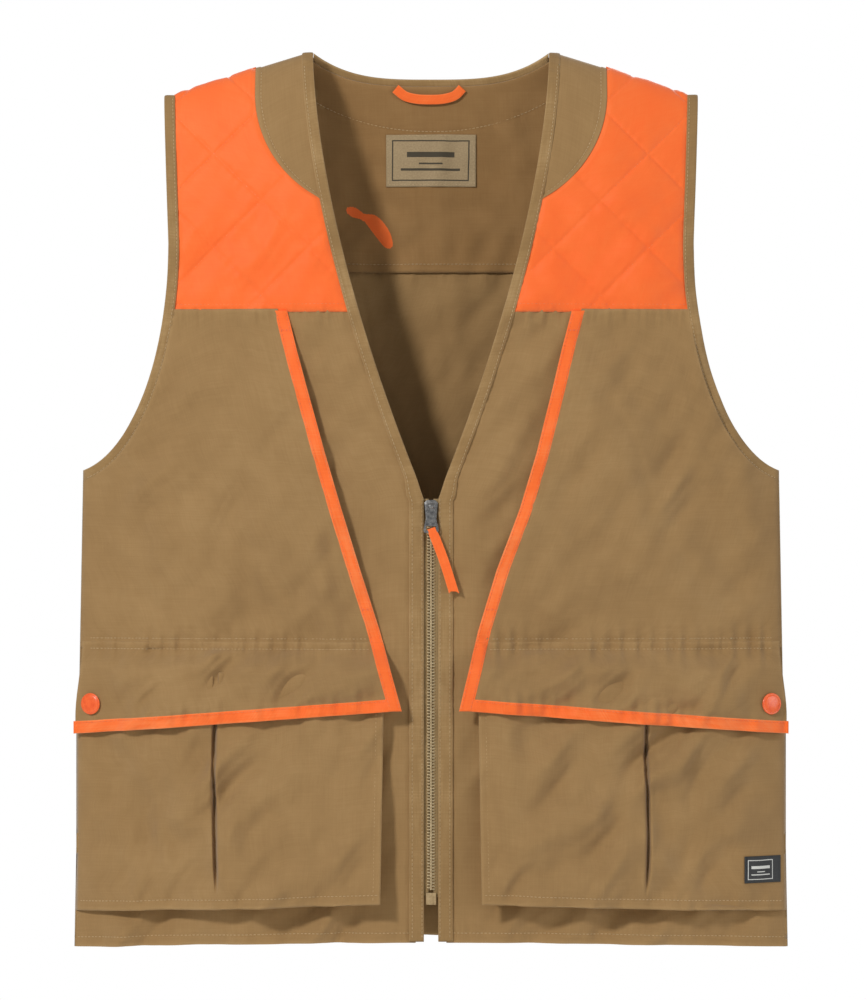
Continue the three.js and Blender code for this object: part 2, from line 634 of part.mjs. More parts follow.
for (const [wearers, side] of [["right", -1], ["left", 1]]) {
  const leftEdge = (inset) => (v) => {
    const z = hemEdge(V_BOTTOM_HALF)(v);
    return [frontEdgeX(z, inset), z];
  };
  const panel = between(leftEdge(BINDING_INSET), sideEdge(frontTop, hemZ(HEM_HALF)));
  piece(
    `${wearers}_front_panel`,
    KHAKI,
    bentBox(panel, [10, SIDE_ROWS + ARM_ROWS], front(CLOTH), front(0), side),
  );

  const edging = between(leftEdge(0), leftEdge(NECK_BINDING_WIDTH));
  piece(
    `${wearers}_front_edging`,
    KHAKI,
    bentBox(edging, [1, 16], front(BINDING), front(0), side),
  );

  const armFront = (inset) => (v) => armholePoint(frontTop, 1 - v, inset);
  piece(
    `${wearers}_armhole_binding_front`,
    KHAKI,
    bentBox(
      between(armFront(ARMHOLE_BINDING_WIDTH), armFront(0)),
      [1, ARM_ROWS],
      front(BINDING),
      front(0),
      side,
    ),
  );

  // Hand pocket: a panel whose slanted edge is bound with tape and left open.
  const overlayTop = frontTop;
  const overlayBottom = -FLAP_SEAM_DROP;
  const slanted = (edge, bottom, top) => (v) => {
    const z = lerp(bottom, top, v);
    return [edge(z), z];
  };
  piece(
    `${wearers}_hand_pocket_panel`,
    KHAKI,
    bentBox(
      between(
        slanted(panelInner, overlayBottom, overlayTop),
        sideEdge(overlayTop, overlayBottom),
      ),
      [8, SIDE_ROWS + ARM_ROWS],
      front(plus(overlayOut, CLOTH)),
      front(overlayOut),
      side,
    ),
  );
  piece(
    `${wearers}_hand_pocket_tape`,
    ORANGE,
    bentBox(
      between(
        slanted(tapeInner, overlayBottom, overlayTop),
        slanted(tapeOuter, overlayBottom, overlayTop),
      ),
      [1, 12],
      front(plus(overlayOut, CLOTH + TAPE_PROUD)),
      front(plus(overlayOut, -SEAM_GAP)),
      side,
    ),
  );

  // Cargo pocket: a pleated face on a gusset that runs down its inner side and bottom.
  const face = (u, v) => {
    const x = lerp(pocketInner(-POCKET_MOUTH_DROP), FLAP_END, u);
    const z = lerp(pocketBottom(x), -POCKET_MOUTH_DROP, v);
    return [x + (1 - u) * (pocketInner(z) - POCKET_HALF), z];
  };
  const faceGeometry = bentBox(
    face, [12, 6], front(plus(pocketOut, CLOTH)), front(pocketOut), side,
  );
  piece(`${wearers}_cargo_pocket`, KHAKI, pierced(faceGeometry, side));
  const CORNER_SHARE = 0.35; // share of the gusset's rows that lie on the inner side
  const gussetPath = (v) => {
    const start = 1 - CORNER_SHARE;
    if (v > start) {
      const z = lerp(-POCKET_INNER_DROP, -POCKET_MOUTH_DROP, (v - start) / CORNER_SHARE);
      return [pocketInner(z), z];
    }
    const x = lerp(FLAP_END, pocketInner(-POCKET_INNER_DROP), v / start);
    return [x, pocketBottom(x)];
  };
  const gusset = (u, v) => {
    const [x, z] = gussetPath(v);
    const start = 1 - CORNER_SHARE;
    const inwards = v > start + 1e-6 ? [1, 0] : v < start - 1e-6 ? [0, 1] : [1, 1];
    return [x + inwards[0] * CLOTH * u, z + inwards[1] * CLOTH * u];
  };
  piece(
    `${wearers}_pocket_gusset`,
    KHAKI,
    bentBox(gusset, [1, 20], front(plus(pocketOut, -SEAM_GAP)), front(CLOTH + SEAM_GAP), side),
  );

  // Flap over the cargo pocket, bound with tape along its lower edge and inner end.
  const flapLow = (x) => flapTapeTop(x) + SEAM_GAP;
  const corner = (edge, low) => {
    let x = edge(-FLAP_CORNER_DROP);
    for (let i = 0; i < 9; i++) x = edge(low(x));
    return [x, low(x)];
  };
  const end = [FLAP_END, flapLow(FLAP_END)];
  const flapPlan = quad(
    corner(panelInner, flapLow), end, [panelInner(flapTop), flapTop], [FLAP_END, flapTop],
  );
  const flapGeometry = bentBox(
    flapPlan, [12, 4], front(plus(flapOut, CLOTH)), front(flapOut), side,
  );
  piece(`${wearers}_flap`, KHAKI, pierced(flapGeometry, side));
  const tapeFaces = [
    front(plus(flapOut, CLOTH + TAPE_PROUD)),
    front(plus(flapOut, -SEAM_GAP)),
  ];
  const hemTape = quad(
    corner(panelInner, flapBottom),
    [HEM_HALF, flapBottom(HEM_HALF)],
    corner(panelInner, flapTapeTop),
    [HEM_HALF, flapTapeTop(HEM_HALF)],
  );
  piece(`${wearers}_flap_hem_tape`, ORANGE, bentBox(hemTape, [12, 1], ...tapeFaces, side));
  piece(
    `${wearers}_flap_end_tape`,
    ORANGE,
    bentBox(
      between(
        slanted(tapeInner, -FLAP_CORNER_DROP, flapTop),
        slanted(tapeOuter, -FLAP_CORNER_DROP, flapTop),
      ),
      [1, 4],
      ...tapeFaces,
      side,
    ),
  );

  // Snaps: cap and socket on the flap, stud and post on the pocket.
  for (const [part, profile] of Object.entries(snapShapes)) {
    piece(`${wearers}_snap_${part}`, snapFinish[part], seat(turned(profile), side));
  }
}

// ---- Game bag: a pouch on the back, sewn at the sides and bottom, open at the top -------
function bagOut(x, z) {
  const across = Math.min(1, Math.abs(x) / BAG_HALF) ** 4;
  const down = Math.min(1, (-BAG_TOP_DROP - z) / (BAG_BOTTOM_DROP - BAG_TOP_DROP)) ** 4;
  return overlayBase + BAG_DEPTH * (1 - across) * (1 - Math.max(0, down));
}
const level = (drop) => () => -drop;
piece(
  "game_bag",
  KHAKI,
  bentBox(
    over(-BAG_HALF, BAG_HALF, level(BAG_BOTTOM_DROP), level(BAG_TOP_DROP)),
    [16, 9],
    back(bagOut),
    back(plus(bagOut, CLOTH)),
  ),
);
piece(
  "game_bag_tape",
  ORANGE,
  bentBox(
    over(-BAG_HALF, BAG_HALF, level(BAG_TOP_DROP - SEAM_GAP), level(BAG_TOP_DROP - TAPE_WIDTH)),
    [16, 1],
    back(plus(bagOut, -SEAM_GAP)),
    back(plus(bagOut, CLOTH + TAPE_PROUD)),
  ),
);

// ---- Zip -----------------------------------------------------------------------------
// Depths at the centre front, from the inside of the vest to the outside.
const centreY = (out) => front(out)(0, -V_DROP);
const TAPE_OUTER = centreY(-SEAM_GAP);
const TAPE_MIDDLE = TAPE_OUTER + ZIP_TAPE / 2;
const CHAIN_TOP_DROP = SLIDER_TOP_DROP + BRIDGE_LENGTH + SLIDER_CLEARANCE;
const CHAIN_BOTTOM_DROP = BOX_TOP_DROP - SLIDER_CLEARANCE;
const TEETH = Math.floor((CHAIN_BOTTOM_DROP - CHAIN_TOP_DROP) / TOOTH_PITCH);

// One half of the zip: tape, bead with teeth, and the pin at its foot, moulded as one.
function zipHalf(side) {
  const first = CHAIN_TOP_DROP + (side > 0 ? TOOTH_PITCH / 2 : 0) + TOOTH_HEIGHT / 2;
  const outline = [
    [CHAIN_INNER, -CHAIN_TOP_DROP],
    [CHAIN_HALF, -CHAIN_TOP_DROP],
    [CHAIN_HALF, -CHAIN_BOTTOM_DROP],
    [CHAIN_INNER, -CHAIN_BOTTOM_DROP],
  ];
  for (let k = TEETH - 1; k >= 0; k--) {
    const middle = -first - k * TOOTH_PITCH;
    const [low, high] = [middle - TOOTH_HEIGHT / 2, middle + TOOTH_HEIGHT / 2];
    outline.push([CHAIN_INNER, low], [-TOOTH_TIP, low], [-TOOTH_TIP, high], [CHAIN_INNER, high]);
  }
  const mirrored = outline.map(([x, z]) => [side * x, z]);
  const teeth = plate(
    mirrored, TAPE_MIDDLE - CHAIN_THICKNESS / 2, TAPE_MIDDLE + CHAIN_THICKNESS / 2,
  );
  const span = (x0, x1) => (side > 0 ? [x0, x1] : [-x1, -x0]);
  const [tape0, tape1] = span(CHAIN_HALF - TAPE_OVERLAP, ZIP_TAPE_HALF);
  const tape = block(
    [tape0, TAPE_OUTER, -CHAIN_BOTTOM_DROP],
    [tape1, TAPE_OUTER + ZIP_TAPE, -V_DROP],
  );
  const [pin0, pin1] = span(PIN_INNER, PIN_HALF);
  const pin = block(
    [pin0, TAPE_MIDDLE - PIN_THICKNESS / 2, -BOX_TOP_DROP - PIN_LENGTH],
    [pin1, TAPE_MIDDLE + PIN_THICKNESS / 2, -CHAIN_BOTTOM_DROP + TAPE_OVERLAP],
  );
  return fromSolid(solid(teeth).add(solid(tape)).add(solid(pin)));
}
piece("right_zip_half", ZIP_BRASS, zipHalf(-1));
piece("left_zip_half", ZIP_BRASS, zipHalf(1));

const boxCase = block(
  [-BOX_HALF, TAPE_MIDDLE - BOX_THICKNESS / 2, -BOX_BOTTOM_DROP],
  [BOX_HALF, TAPE_MIDDLE + BOX_THICKNESS / 2, -BOX_TOP_DROP],
);
const pinRoom = PIN_THICKNESS / 2 + BOX_CLEARANCE;
const boxCavity = block(
  [-PIN_HALF - BOX_CLEARANCE, TAPE_MIDDLE - pinRoom, -BOX_TOP_DROP - PIN_LENGTH - BOX_CLEARANCE],
  [PIN_HALF + BOX_CLEARANCE, TAPE_MIDDLE + pinRoom, 1 - BOX_TOP_DROP],
);
piece("zip_box", ZIP_BRASS, fromSolid(solid(boxCase).subtract(solid(boxCavity))));

// The slider: two shield-shaped plates joined by a bridge, with lugs and a pivot.
const PLATE_BACK = centreY(BINDING) - SLIDER_CLEARANCE; // the outer plate's inner face
const PLATE_FRONT = PLATE_BACK - SLIDER_PLATE;
const REAR_PLATE = TAPE_MIDDLE + CHAIN_THICKNESS / 2 + SLIDER_CLEARANCE;
const SLIDER_BOTTOM_DROP = SLIDER_TOP_DROP + SLIDER_LENGTH;
const PIVOT_Y = PLATE_FRONT - PIVOT_RISE;
const PIVOT_Z = -SLIDER_TOP_DROP - PIVOT_BELOW;
const shield = [
  [-SLIDER_HALF, -SLIDER_TOP_DROP - 2], [-SLIDER_HALF + 2, -SLIDER_TOP_DROP],
  [SLIDER_HALF - 2, -SLIDER_TOP_DROP], [SLIDER_HALF, -SLIDER_TOP_DROP - 2],
  [SLIDER_HALF - 1, -SLIDER_BOTTOM_DROP], [1 - SLIDER_HALF, -SLIDER_BOTTOM_DROP],
].reverse();
const bridge = block(
  [-BRIDGE_HALF, PLATE_FRONT + SLIDER_PLATE / 2, -SLIDER_TOP_DROP - BRIDGE_LENGTH],
  [BRIDGE_HALF, REAR_PLATE + SLIDER_PLATE / 2, -SLIDER_TOP_DROP],
);
const lugInner = EYE_HALF + PIVOT_CLEARANCE;
const lug = (side) => {
  const [x0, x1] = side > 0 ? [lugInner, lugInner + LUG] : [-lugInner - LUG, -lugInner];
  return block(
    [x0, PIVOT_Y - PIVOT_RADIUS - LUG / 2, PIVOT_Z - PIVOT_RADIUS - LUG / 2],
    [x1, PLATE_FRONT + SLIDER_PLATE / 2, PIVOT_Z + PIVOT_RADIUS + LUG / 2],
  );
};
const rod = (radius, half) =>
  new THREE.CylinderGeometry(radius, radius, 2 * half, 12)
    .rotateZ(Math.PI / 2)
    .translate(0, PIVOT_Y, PIVOT_Z);
const sliderParts = [
  plate(shield, REAR_PLATE, REAR_PLATE + SLIDER_PLATE),
  bridge,
  lug(1),
  lug(-1),
  rod(PIVOT_RADIUS, lugInner + LUG / 2),
];
const slider = sliderParts.reduce(
  (whole, part) => whole.add(solid(part)),
  solid(plate(shield, PLATE_FRONT, PLATE_BACK)),
);
piece("zip_slider", GUNMETAL, fromSolid(slider));

// The puller: an eye around the pivot, and a plate that widens down to its slot.
const PULLER_BOTTOM = PIVOT_Z - PULLER_LENGTH;
const SLOT_LOW = PULLER_BOTTOM + SLOT_BAR;
const [plateY0, plateY1] = [PIVOT_Y - PULLER_THICKNESS / 2, PIVOT_Y + PULLER_THICKNESS / 2];
const pullerPlate = plate(
  [
    [-PULLER_BOTTOM_HALF, PULLER_BOTTOM + 2], [1.5 - PULLER_BOTTOM_HALF, PULLER_BOTTOM],
    [PULLER_BOTTOM_HALF - 1.5, PULLER_BOTTOM], [PULLER_BOTTOM_HALF, PULLER_BOTTOM + 2],
    [EYE_HALF, PIVOT_Z], [-EYE_HALF, PIVOT_Z],
  ],
  plateY0,
  plateY1,
);
const slotCut = block(
  [-SLOT_HALF, plateY0 - 1, SLOT_LOW],
  [SLOT_HALF, plateY1 + 1, SLOT_LOW + SLOT_HEIGHT],
);
const puller = solid(pullerPlate)
  .add(solid(rod(EYE_RADIUS, EYE_HALF)))
  .subtract(solid(rod(PIVOT_RADIUS + PIVOT_CLEARANCE, EYE_HALF + 1)))
  .subtract(solid(slotCut));
piece("zip_puller", GUNMETAL, fromSolid(puller));

// The ribbon: a loop through the slot and a flat tail, turned about the slot's middle.
const SLOT_MIDDLE = SLOT_LOW + SLOT_HEIGHT / 2;
const loopHalf = PULLER_THICKNESS / 2 + RIBBON_CLEARANCE + RIBBON_WALL;
const tailTop = -SLOT_HEIGHT / 2 - SLOT_BAR - RIBBON_CLEARANCE - 1;
const loopBlock = block(
  [-RIBBON_NECK / 2, -loopHalf, tailTop - RIBBON_WALL],
  [RIBBON_NECK / 2, loopHalf, RIBBON_WALL / 2],
);
const loopHole = block(
  [-RIBBON_NECK, RIBBON_WALL - loopHalf, tailTop],
  [RIBBON_NECK, loopHalf - RIBBON_WALL, -RIBBON_WALL / 2],
);
const tailEnd = tailTop - RIBBON_LENGTH;
const tail = plate(
  [
    [-RIBBON_WIDTH / 2, tailEnd + 4], [RIBBON_WIDTH / 2, tailEnd],
    [RIBBON_WIDTH / 2, tailTop - 2], [RIBBON_NECK / 2, tailTop],
    [-RIBBON_NECK / 2, tailTop], [-RIBBON_WIDTH / 2, tailTop - 2],
  ],
  -RIBBON_THICKNESS / 2,
  RIBBON_THICKNESS / 2,
);
const ribbon = solid(loopBlock).subtract(solid(loopHole)).add(solid(tail));
piece(
  "pull_ribbon",
  ORANGE,
  fromSolid(ribbon).rotateY(-degToRad(RIBBON_TILT)).translate(0, PIVOT_Y, SLOT_MIDDLE),
);

// ---- Hang loop and labels ---------------------------------------------------------------
const LOOP_TOP = -BACK_NECK_DROP - BACK_NECK_BINDING_WIDTH - LAYER_GAP;
const loopPath = new THREE.SplineCurve(
  [[-1, 0], [-0.72, 0.75], [-0.3, 1], [0.4, 1], [0.8, 0.7], [1, 0]].map(
    ([x, drop]) => new THREE.Vector2(LOOP_SHIFT + x * LOOP_HALF, LOOP_TOP - drop * LOOP_SAG),
  ),
);
const onLining = (thickness) => [
  back(-LINING_DEPTH - LAYER_GAP - thickness),
  back(-LINING_DEPTH - LAYER_GAP),
];
piece("hang_loop", ORANGE, bentBox(band(loopPath, LOOP_WIDTH), [1, 16], ...onLining(LOOP_THICKNESS)));
piece(
  "neck_label",
  LABEL_TAN,
  bentBox(
    over(-LABEL_HALF, LABEL_HALF, level(LABEL_TOP_DROP + LABEL_HEIGHT), level(LABEL_TOP_DROP)),
    [6, 4],
    ...onLining(LABEL_THICKNESS),
  ),
);
const badgeFace = plus(pocketOut, CLOTH + SEAM_GAP);
piece(
  "pocket_badge",
  BADGE_BLACK,
  bentBox(
    over(
      BADGE_CENTRE - BADGE_WIDTH / 2,
      BADGE_CENTRE + BADGE_WIDTH / 2,
      level(BADGE_DROP + BADGE_HEIGHT / 2),
      level(BADGE_DROP - BADGE_HEIGHT / 2),
    ),
    [4, 2],
    front(plus(badgeFace, LABEL_THICKNESS)),
    front(badgeFace),
  ),
);

export default vest;
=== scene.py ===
# %% [markdown]
# # An upland hunting vest
# The vest hangs open-necked and zipped to the chest: khaki canvas with quilted orange
# shoulders, orange tapes, two bellows pockets under snap flaps and a game bag behind.
# Each cell makes one piece or finish. First come the measured frame and the camera.

# %% Load the frame
import math
import bmesh
import bpy
import numpy as np
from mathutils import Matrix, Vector


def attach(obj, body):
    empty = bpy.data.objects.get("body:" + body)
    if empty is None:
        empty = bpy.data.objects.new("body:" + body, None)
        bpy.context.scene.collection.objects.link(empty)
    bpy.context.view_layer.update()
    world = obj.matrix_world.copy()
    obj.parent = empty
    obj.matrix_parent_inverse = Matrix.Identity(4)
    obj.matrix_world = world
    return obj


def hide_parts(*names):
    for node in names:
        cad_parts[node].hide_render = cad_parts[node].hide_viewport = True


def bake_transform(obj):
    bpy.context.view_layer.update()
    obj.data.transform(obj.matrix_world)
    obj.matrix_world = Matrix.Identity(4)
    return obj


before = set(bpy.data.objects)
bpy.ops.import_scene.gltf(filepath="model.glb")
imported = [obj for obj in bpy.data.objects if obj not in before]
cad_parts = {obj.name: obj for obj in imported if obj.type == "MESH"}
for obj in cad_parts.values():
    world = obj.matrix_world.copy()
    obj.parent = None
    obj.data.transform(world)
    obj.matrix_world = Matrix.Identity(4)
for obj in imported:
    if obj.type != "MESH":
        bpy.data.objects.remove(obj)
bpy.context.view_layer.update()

# %% [markdown]
# ## Camera and light
# A product picture of a garment is taken from far away with a long lens, so that nothing
# is distorted. One large lamp stands up and to the left, which throws the short shadow
# inside the neck; a wide weak lamp and a bright world fill the rest.

# %% Camera
VIEW_DISTANCE = 4.0
PICTURE_HEIGHT = 0.82
CAMERA_X, CAMERA_Z, FRONT_PLANE = 0.002, -0.373, -0.035

lens_data = bpy.data.cameras.new("camera")
lens_data.sensor_fit = "VERTICAL"
lens_data.sensor_height = 36
lens_data.lens = lens_data.sensor_height * VIEW_DISTANCE / PICTURE_HEIGHT
camera = bpy.data.objects.new("camera", lens_data)
camera.location = (CAMERA_X, FRONT_PLANE - VIEW_DISTANCE, CAMERA_Z)
camera.rotation_euler = (math.pi / 2, 0, 0)
bpy.context.collection.objects.link(camera)
bpy.context.scene.camera = camera
bpy.context.scene.view_settings.view_transform = "Standard"
print("lens", round(lens_data.lens), "mm")


# %% Lamps and world
def lamp(name, azimuth, elevation, distance, size, watts):
    """An area lamp on a sphere about the vest's middle, turned to face that middle."""
    data = bpy.data.lights.new(name, "AREA")
    data.shape, data.size, data.energy = "DISK", size, watts
    az, el = math.radians(azimuth), math.radians(elevation)
    way = Vector((math.sin(az) * math.cos(el), -math.cos(az) * math.cos(el), math.sin(el)))
    thing = bpy.data.objects.new(name, data)
    thing.location = Vector((0, 0, CAMERA_Z)) + distance * way
    thing.rotation_euler = way.to_track_quat("Z", "Y").to_euler()
    bpy.context.collection.objects.link(thing)


lamp("key", -32, 25, 3.4, 0.45, 64)
lamp("fill", 60, 4, 3.6, 1.6, 22)
lamp("back fill", 170, 30, 3.6, 2.0, 60)

world = bpy.data.worlds.new("studio")
bpy.context.scene.world = world
world.use_nodes = True
sky = world.node_tree
seen = sky.nodes.new("ShaderNodeBackground")
seen.inputs["Color"].default_value = (1, 1, 1, 1)
seen.inputs["Strength"].default_value = 1.0
glow = sky.nodes["Background"]
glow.inputs["Color"].default_value = (1, 1, 1, 1)
glow.inputs["Strength"].default_value = 0.38
ray = sky.nodes.new("ShaderNodeLightPath")
pick = sky.nodes.new("ShaderNodeMixShader")
sky.links.new(ray.outputs["Is Camera Ray"], pick.inputs["Fac"])
sky.links.new(glow.outputs[0], pick.inputs[1])
sky.links.new(seen.outputs[0], pick.inputs[2])
sky.links.new(pick.outputs[0], sky.nodes["World Output"].inputs["Surface"])

# %% [markdown]
# ## The pattern's measures
# These are the tailor's measures of the vest, in metres. All pieces are cut from them,
# so that neighbours meet. x runs to the wearer's left, z up, and the front faces -y.

# %% Measures
MM = 0.001
NECK_HALF, NECK_EASE = 97.3 * MM, 40 * MM
SHOULDER_HALF, SHOULDER_DROP = 220.6 * MM, 38.5 * MM
BACK_NECK_DROP, BACK_NECK_POWER = 21.2 * MM, 3.34
V_DROP, V_BOTTOM_HALF, V_POWER = 372 * MM, 4.7 * MM, 1.65
CHEST_HALF, CHEST_DROP, ARMHOLE_REACH = 216 * MM, 162 * MM, 84 * MM
UNDERARM_HALF, UNDERARM_DROP = 287.8 * MM, 348.5 * MM
HEM_HALF, HEM_DROP, HEM_RISE = 295 * MM, 742 * MM, 6.5 * MM
FRONT_DEPTH, BACK_DEPTH, SHOULDER_ROUND = 40 * MM, 36 * MM, 170 * MM
CLOTH, GAP, PAD = 1.2 * MM, 0.4 * MM, 3.6 * MM
YOKE_DROP, BACK_YOKE_DROP = 218.9 * MM, 180.4 * MM
PATCH_X, PATCH_DROP, PATCH_RADIUS = 44.3 * MM, 37 * MM, 100 * MM
PATCH_OUTER = PATCH_X + PATCH_RADIUS
BAND_DROP = 62 * MM
SLANT_TOP, SLANT_BOTTOM = 121.4 * MM, 28.7 * MM
FLAP_SEAM, FLAP_CORNER, FLAP_SIDE = 491 * MM, 545.3 * MM, 565.8 * MM
POCKET_HALF, POCKET_LEAN, POCKET_MOUTH = 38.3 * MM, 3.1 * MM, 514 * MM
POCKET_INNER, POCKET_SIDE = 702.7 * MM, 711.8 * MM
TAPE_WIDTH, V_BINDING, ARM_BINDING = 10.4 * MM, 9.4 * MM, 9 * MM
BAG_HALF, BAG_TOP, BAG_BOTTOM, BAG_DEPTH = 250 * MM, 430 * MM, 704 * MM, 26 * MM
PLEAT_X = 177 * MM
SNAP_X, SNAP_Z = 277 * MM, -540.7 * MM


def mix(a, b, t):
    """a at t 0, b at t 1, in a straight line between."""
    return a + (b - a) * t


def ease(t):
    """Smooth step: 0 below 0, 1 above 1, three t squared less two t cubed between."""
    t = np.clip(t, 0, 1)
    return t * t * (3 - 2 * t)


def bump(distance, reach):
    """A bell curve: 1 at no distance, about a third at the reach."""
    return np.exp(-((distance / reach) ** 2))


# %% [markdown]
# ## The outline as functions
# The outline could be drawn as curves and filled. Here each edge is a formula in x and z,
# because a seam, a binding and a row of stitches can then follow the same edge.

# %% Outline
def shoulder_arc(x):
    return np.hypot(x, NECK_EASE) - math.hypot(NECK_HALF, NECK_EASE)


SLOPE = SHOULDER_DROP / float(shoulder_arc(SHOULDER_HALF))


def shoulder_z(x):
    """Height of the shoulder line: a hyperbola that is straight over each shoulder."""
    return -SLOPE * shoulder_arc(x)


def neck_z(x):
    """The back neck edge: a flat-bottomed bowl."""
    out = np.minimum(np.abs(x / NECK_HALF), 1)
    return -BACK_NECK_DROP * (1 - out**BACK_NECK_POWER)


def hem_z(x):
    """The hem: a shallow arch."""
    return HEM_RISE * (1 - (x / HEM_HALF) ** 2) - HEM_DROP


def side_half(z):
    """Half width at a height, measured to the side seam."""
    down = (-z - UNDERARM_DROP) / (HEM_DROP - UNDERARM_DROP)
    return mix(UNDERARM_HALF, HEM_HALF, np.maximum(0, down))


def front_edge(z, inset=0):
    """The V edge and the straight edge under it, moved into the cloth by inset."""
    share = np.clip(-z / V_DROP, 0, 1)
    reach = NECK_HALF - V_BOTTOM_HALF
    slope = np.where(share < 1, V_POWER * reach * share ** (V_POWER - 1) / V_DROP, 0)
    return NECK_HALF - reach * share**V_POWER + inset * np.hypot(1, slope)


ELLIPSE_X = CHEST_HALF + ARMHOLE_REACH
ELLIPSE_DROP = (UNDERARM_DROP - CHEST_DROP) / math.sqrt(
    1 - ((ELLIPSE_X - UNDERARM_HALF) / ARMHOLE_REACH) ** 2
)


def armhole(z, inset=0):
    """The armhole's edge at a height: straight to the chest, then part of an ellipse."""
    z = np.minimum(z, -SHOULDER_DROP)
    straight = mix(CHEST_HALF, SHOULDER_HALF, (CHEST_DROP + z) / (CHEST_DROP - SHOULDER_DROP))
    share = np.clip((z + CHEST_DROP) / (ELLIPSE_DROP + inset), -1, 0)
    round_part = ELLIPSE_X - (ARMHOLE_REACH + inset) * np.sqrt(1 - share**2)
    return np.where(z > -CHEST_DROP, straight - inset, round_part)


def underarm(z_top, share, inset=0):
    """A point of the lower armhole, by the ellipse's angle, from z_top to the side seam."""
    across, down = ARMHOLE_REACH + inset, ELLIPSE_DROP + inset
    first = np.arcsin((-CHEST_DROP - z_top) / down)
    last = np.arccos((ELLIPSE_X - UNDERARM_HALF) / across)
    angle = mix(first, last, share)
    return ELLIPSE_X - across * np.cos(angle), -CHEST_DROP - down * np.sin(angle)


def patch_edge(z, inset=0):
    """The neck patch's round outer edge at a height."""
    down = np.clip(-PATCH_DROP - z, 0, PATCH_RADIUS)
    return PATCH_X + inset + np.sqrt(PATCH_RADIUS**2 - down**2)


BOW_AT = np.array([219, 250, 290, 335, 380, 430, 480, 545]) * MM
BOWS = {
    -1: np.array([1.5, 2.6, 3.1, 3.4, 3.0, 1.8, 0.0, 0.4]) * MM,
    1: np.array([-1.0, -0.4, 1.4, 3.0, 2.2, -2.4, -3.4, -0.6]) * MM,
}


def slant(z, side, offset=0):
    """Centre of the slanted tape: a straight line that sags to one side by the bow."""
    share = (-z - YOKE_DROP) / (FLAP_CORNER - YOKE_DROP)
    lean = math.hypot(1, (SLANT_TOP - SLANT_BOTTOM) / (FLAP_CORNER - YOKE_DROP))
    bow = np.interp(-z, BOW_AT, BOWS[side])
    return mix(SLANT_TOP, SLANT_BOTTOM, share) + bow + offset * lean


print("armhole ellipse drop", round(ELLIPSE_DROP, 4), "shoulder slope", round(SLOPE, 3))

# %% [markdown]
# ## Folds
# Cloth that hangs is never flat. A cloth simulation could make the folds, but their
# places would be chance and every layer would need its own. Here long folds, small dents
# and puckers are sums of sine waves, one field for all layers, so no layer cuts another.


# %% Wave fields
def waves(x, z, seed, length, turn=0.0, spread=1.0, count=8):
    """The sum of a few sine waves of about one length, turned about one angle; the phases
    come from a seeded draw. It stays mostly between -1 and 1."""
    draw = np.random.default_rng(seed)
    angle = turn + spread * (draw.random(count) - 0.5)
    size = length * (0.7 + 0.7 * draw.random(count))
    phase = 2 * math.pi * draw.random(count)
    x, z = np.asarray(x)[..., None], np.asarray(z)[..., None]
    run = (x * np.cos(angle) + z * np.sin(angle)) / size
    return np.sin(2 * math.pi * run + phase).sum(-1) / math.sqrt(count)


def creases(x, z, seed, length, turn, spread):
    """Waves with sharpened crests: the sign of a wave times its size to the power 1.6."""
    height = waves(x + 0.006 * waves(x, z, seed + 50, 0.07), z, seed, length, turn, spread)
    return np.sign(height) * np.abs(height) ** 1.6


def drape(x, z, facing):
    """How far the hanging cloth stands off its form, in metres. It fades out at the zip,
    the side seams, the shoulder line and round the snaps."""
    seed = 21 if facing < 0 else 61
    long_folds = creases(x, z, seed, 0.105, 0.25, 0.55)
    cross_folds = creases(x, z, seed + 1, 0.052, -0.9, 0.9)
    dents = waves(x, z, seed + 2, 0.024, 0.3, 2.6)
    low = ease((-z - 0.42) / 0.12)
    height = (4.4 * long_folds + (1.2 + 1.3 * low) * cross_folds + 0.5 * dents) * MM
    out = np.abs(x)
    centre = ease((out - 0.017) / 0.045) if facing < 0 else 1.0
    side = ease((side_half(z) - out) / 0.04)
    top = ease((-0.03 - z) / 0.15)
    snap = 1 - bump(np.hypot(out - SNAP_X, z - SNAP_Z), 0.02) if facing < 0 else 1.0
    return height * centre * side * top * snap


def puckers(x, z, seed, rows, depth, reach, length=0.0085):
    """Short gathers that run across a sewn row: waves along the row that die away from
    it. rows gives the row's height at each x."""
    along = waves(x, 0.15 * z, seed, length, 0.0, 0.5, 5)
    return depth * along * bump(z - rows, reach)


# %% [markdown]
# ## The body form
# The front and back are two shallow lenses joined at the side seams and shoulders. A
# layer lies at its own distance off the form, so that shell, pocket and flap nest.


# %% Form
def form(x, z, depth):
    """Stand-off of a lens: flat at the middle, closing at the side seam."""
    share = np.minimum(1, np.abs(x) / side_half(z))
    return depth * (1 - share**2.4) ** 0.75


def turned(x, z):
    """How far the section has turned down from the shoulder: 0 on the ridge, 1 below."""
    below = np.clip((shoulder_z(x) - z) / SHOULDER_ROUND, 0, 1)
    return np.sqrt(1 - (1 - below) ** 2)


def lie(x, z, out, facing, open_side=False):
    """y and z of a layer that lies out metres off the form. z is first the height on the
    outermost layer; over the shoulder the section is a quarter ellipse, and a layer below
    the outermost is lowered there by the distance between them."""
    turn = turned(x, z)
    depth = FRONT_DEPTH if facing < 0 else BACK_DEPTH
    off = GAP + out + drape(x, z, facing)
    if not open_side:
        close = np.clip((side_half(z) - np.abs(x)) / (4 * MM), 0, 1)
        off = off * np.sqrt(1 - (1 - close) ** 2)
    return facing * (form(x, z, depth) + off) * turn, z - (PAD - out) * (1 - turn)


def on_body(x, z, out, facing, open_side=False):
    """y of a layer at a true height z, which is first raised to the outermost layer's."""
    high = z
    for _ in range(4):
        high = z + (PAD - out) * (1 - turned(x, high))
    return lie(x, high, out, facing, open_side)[0]


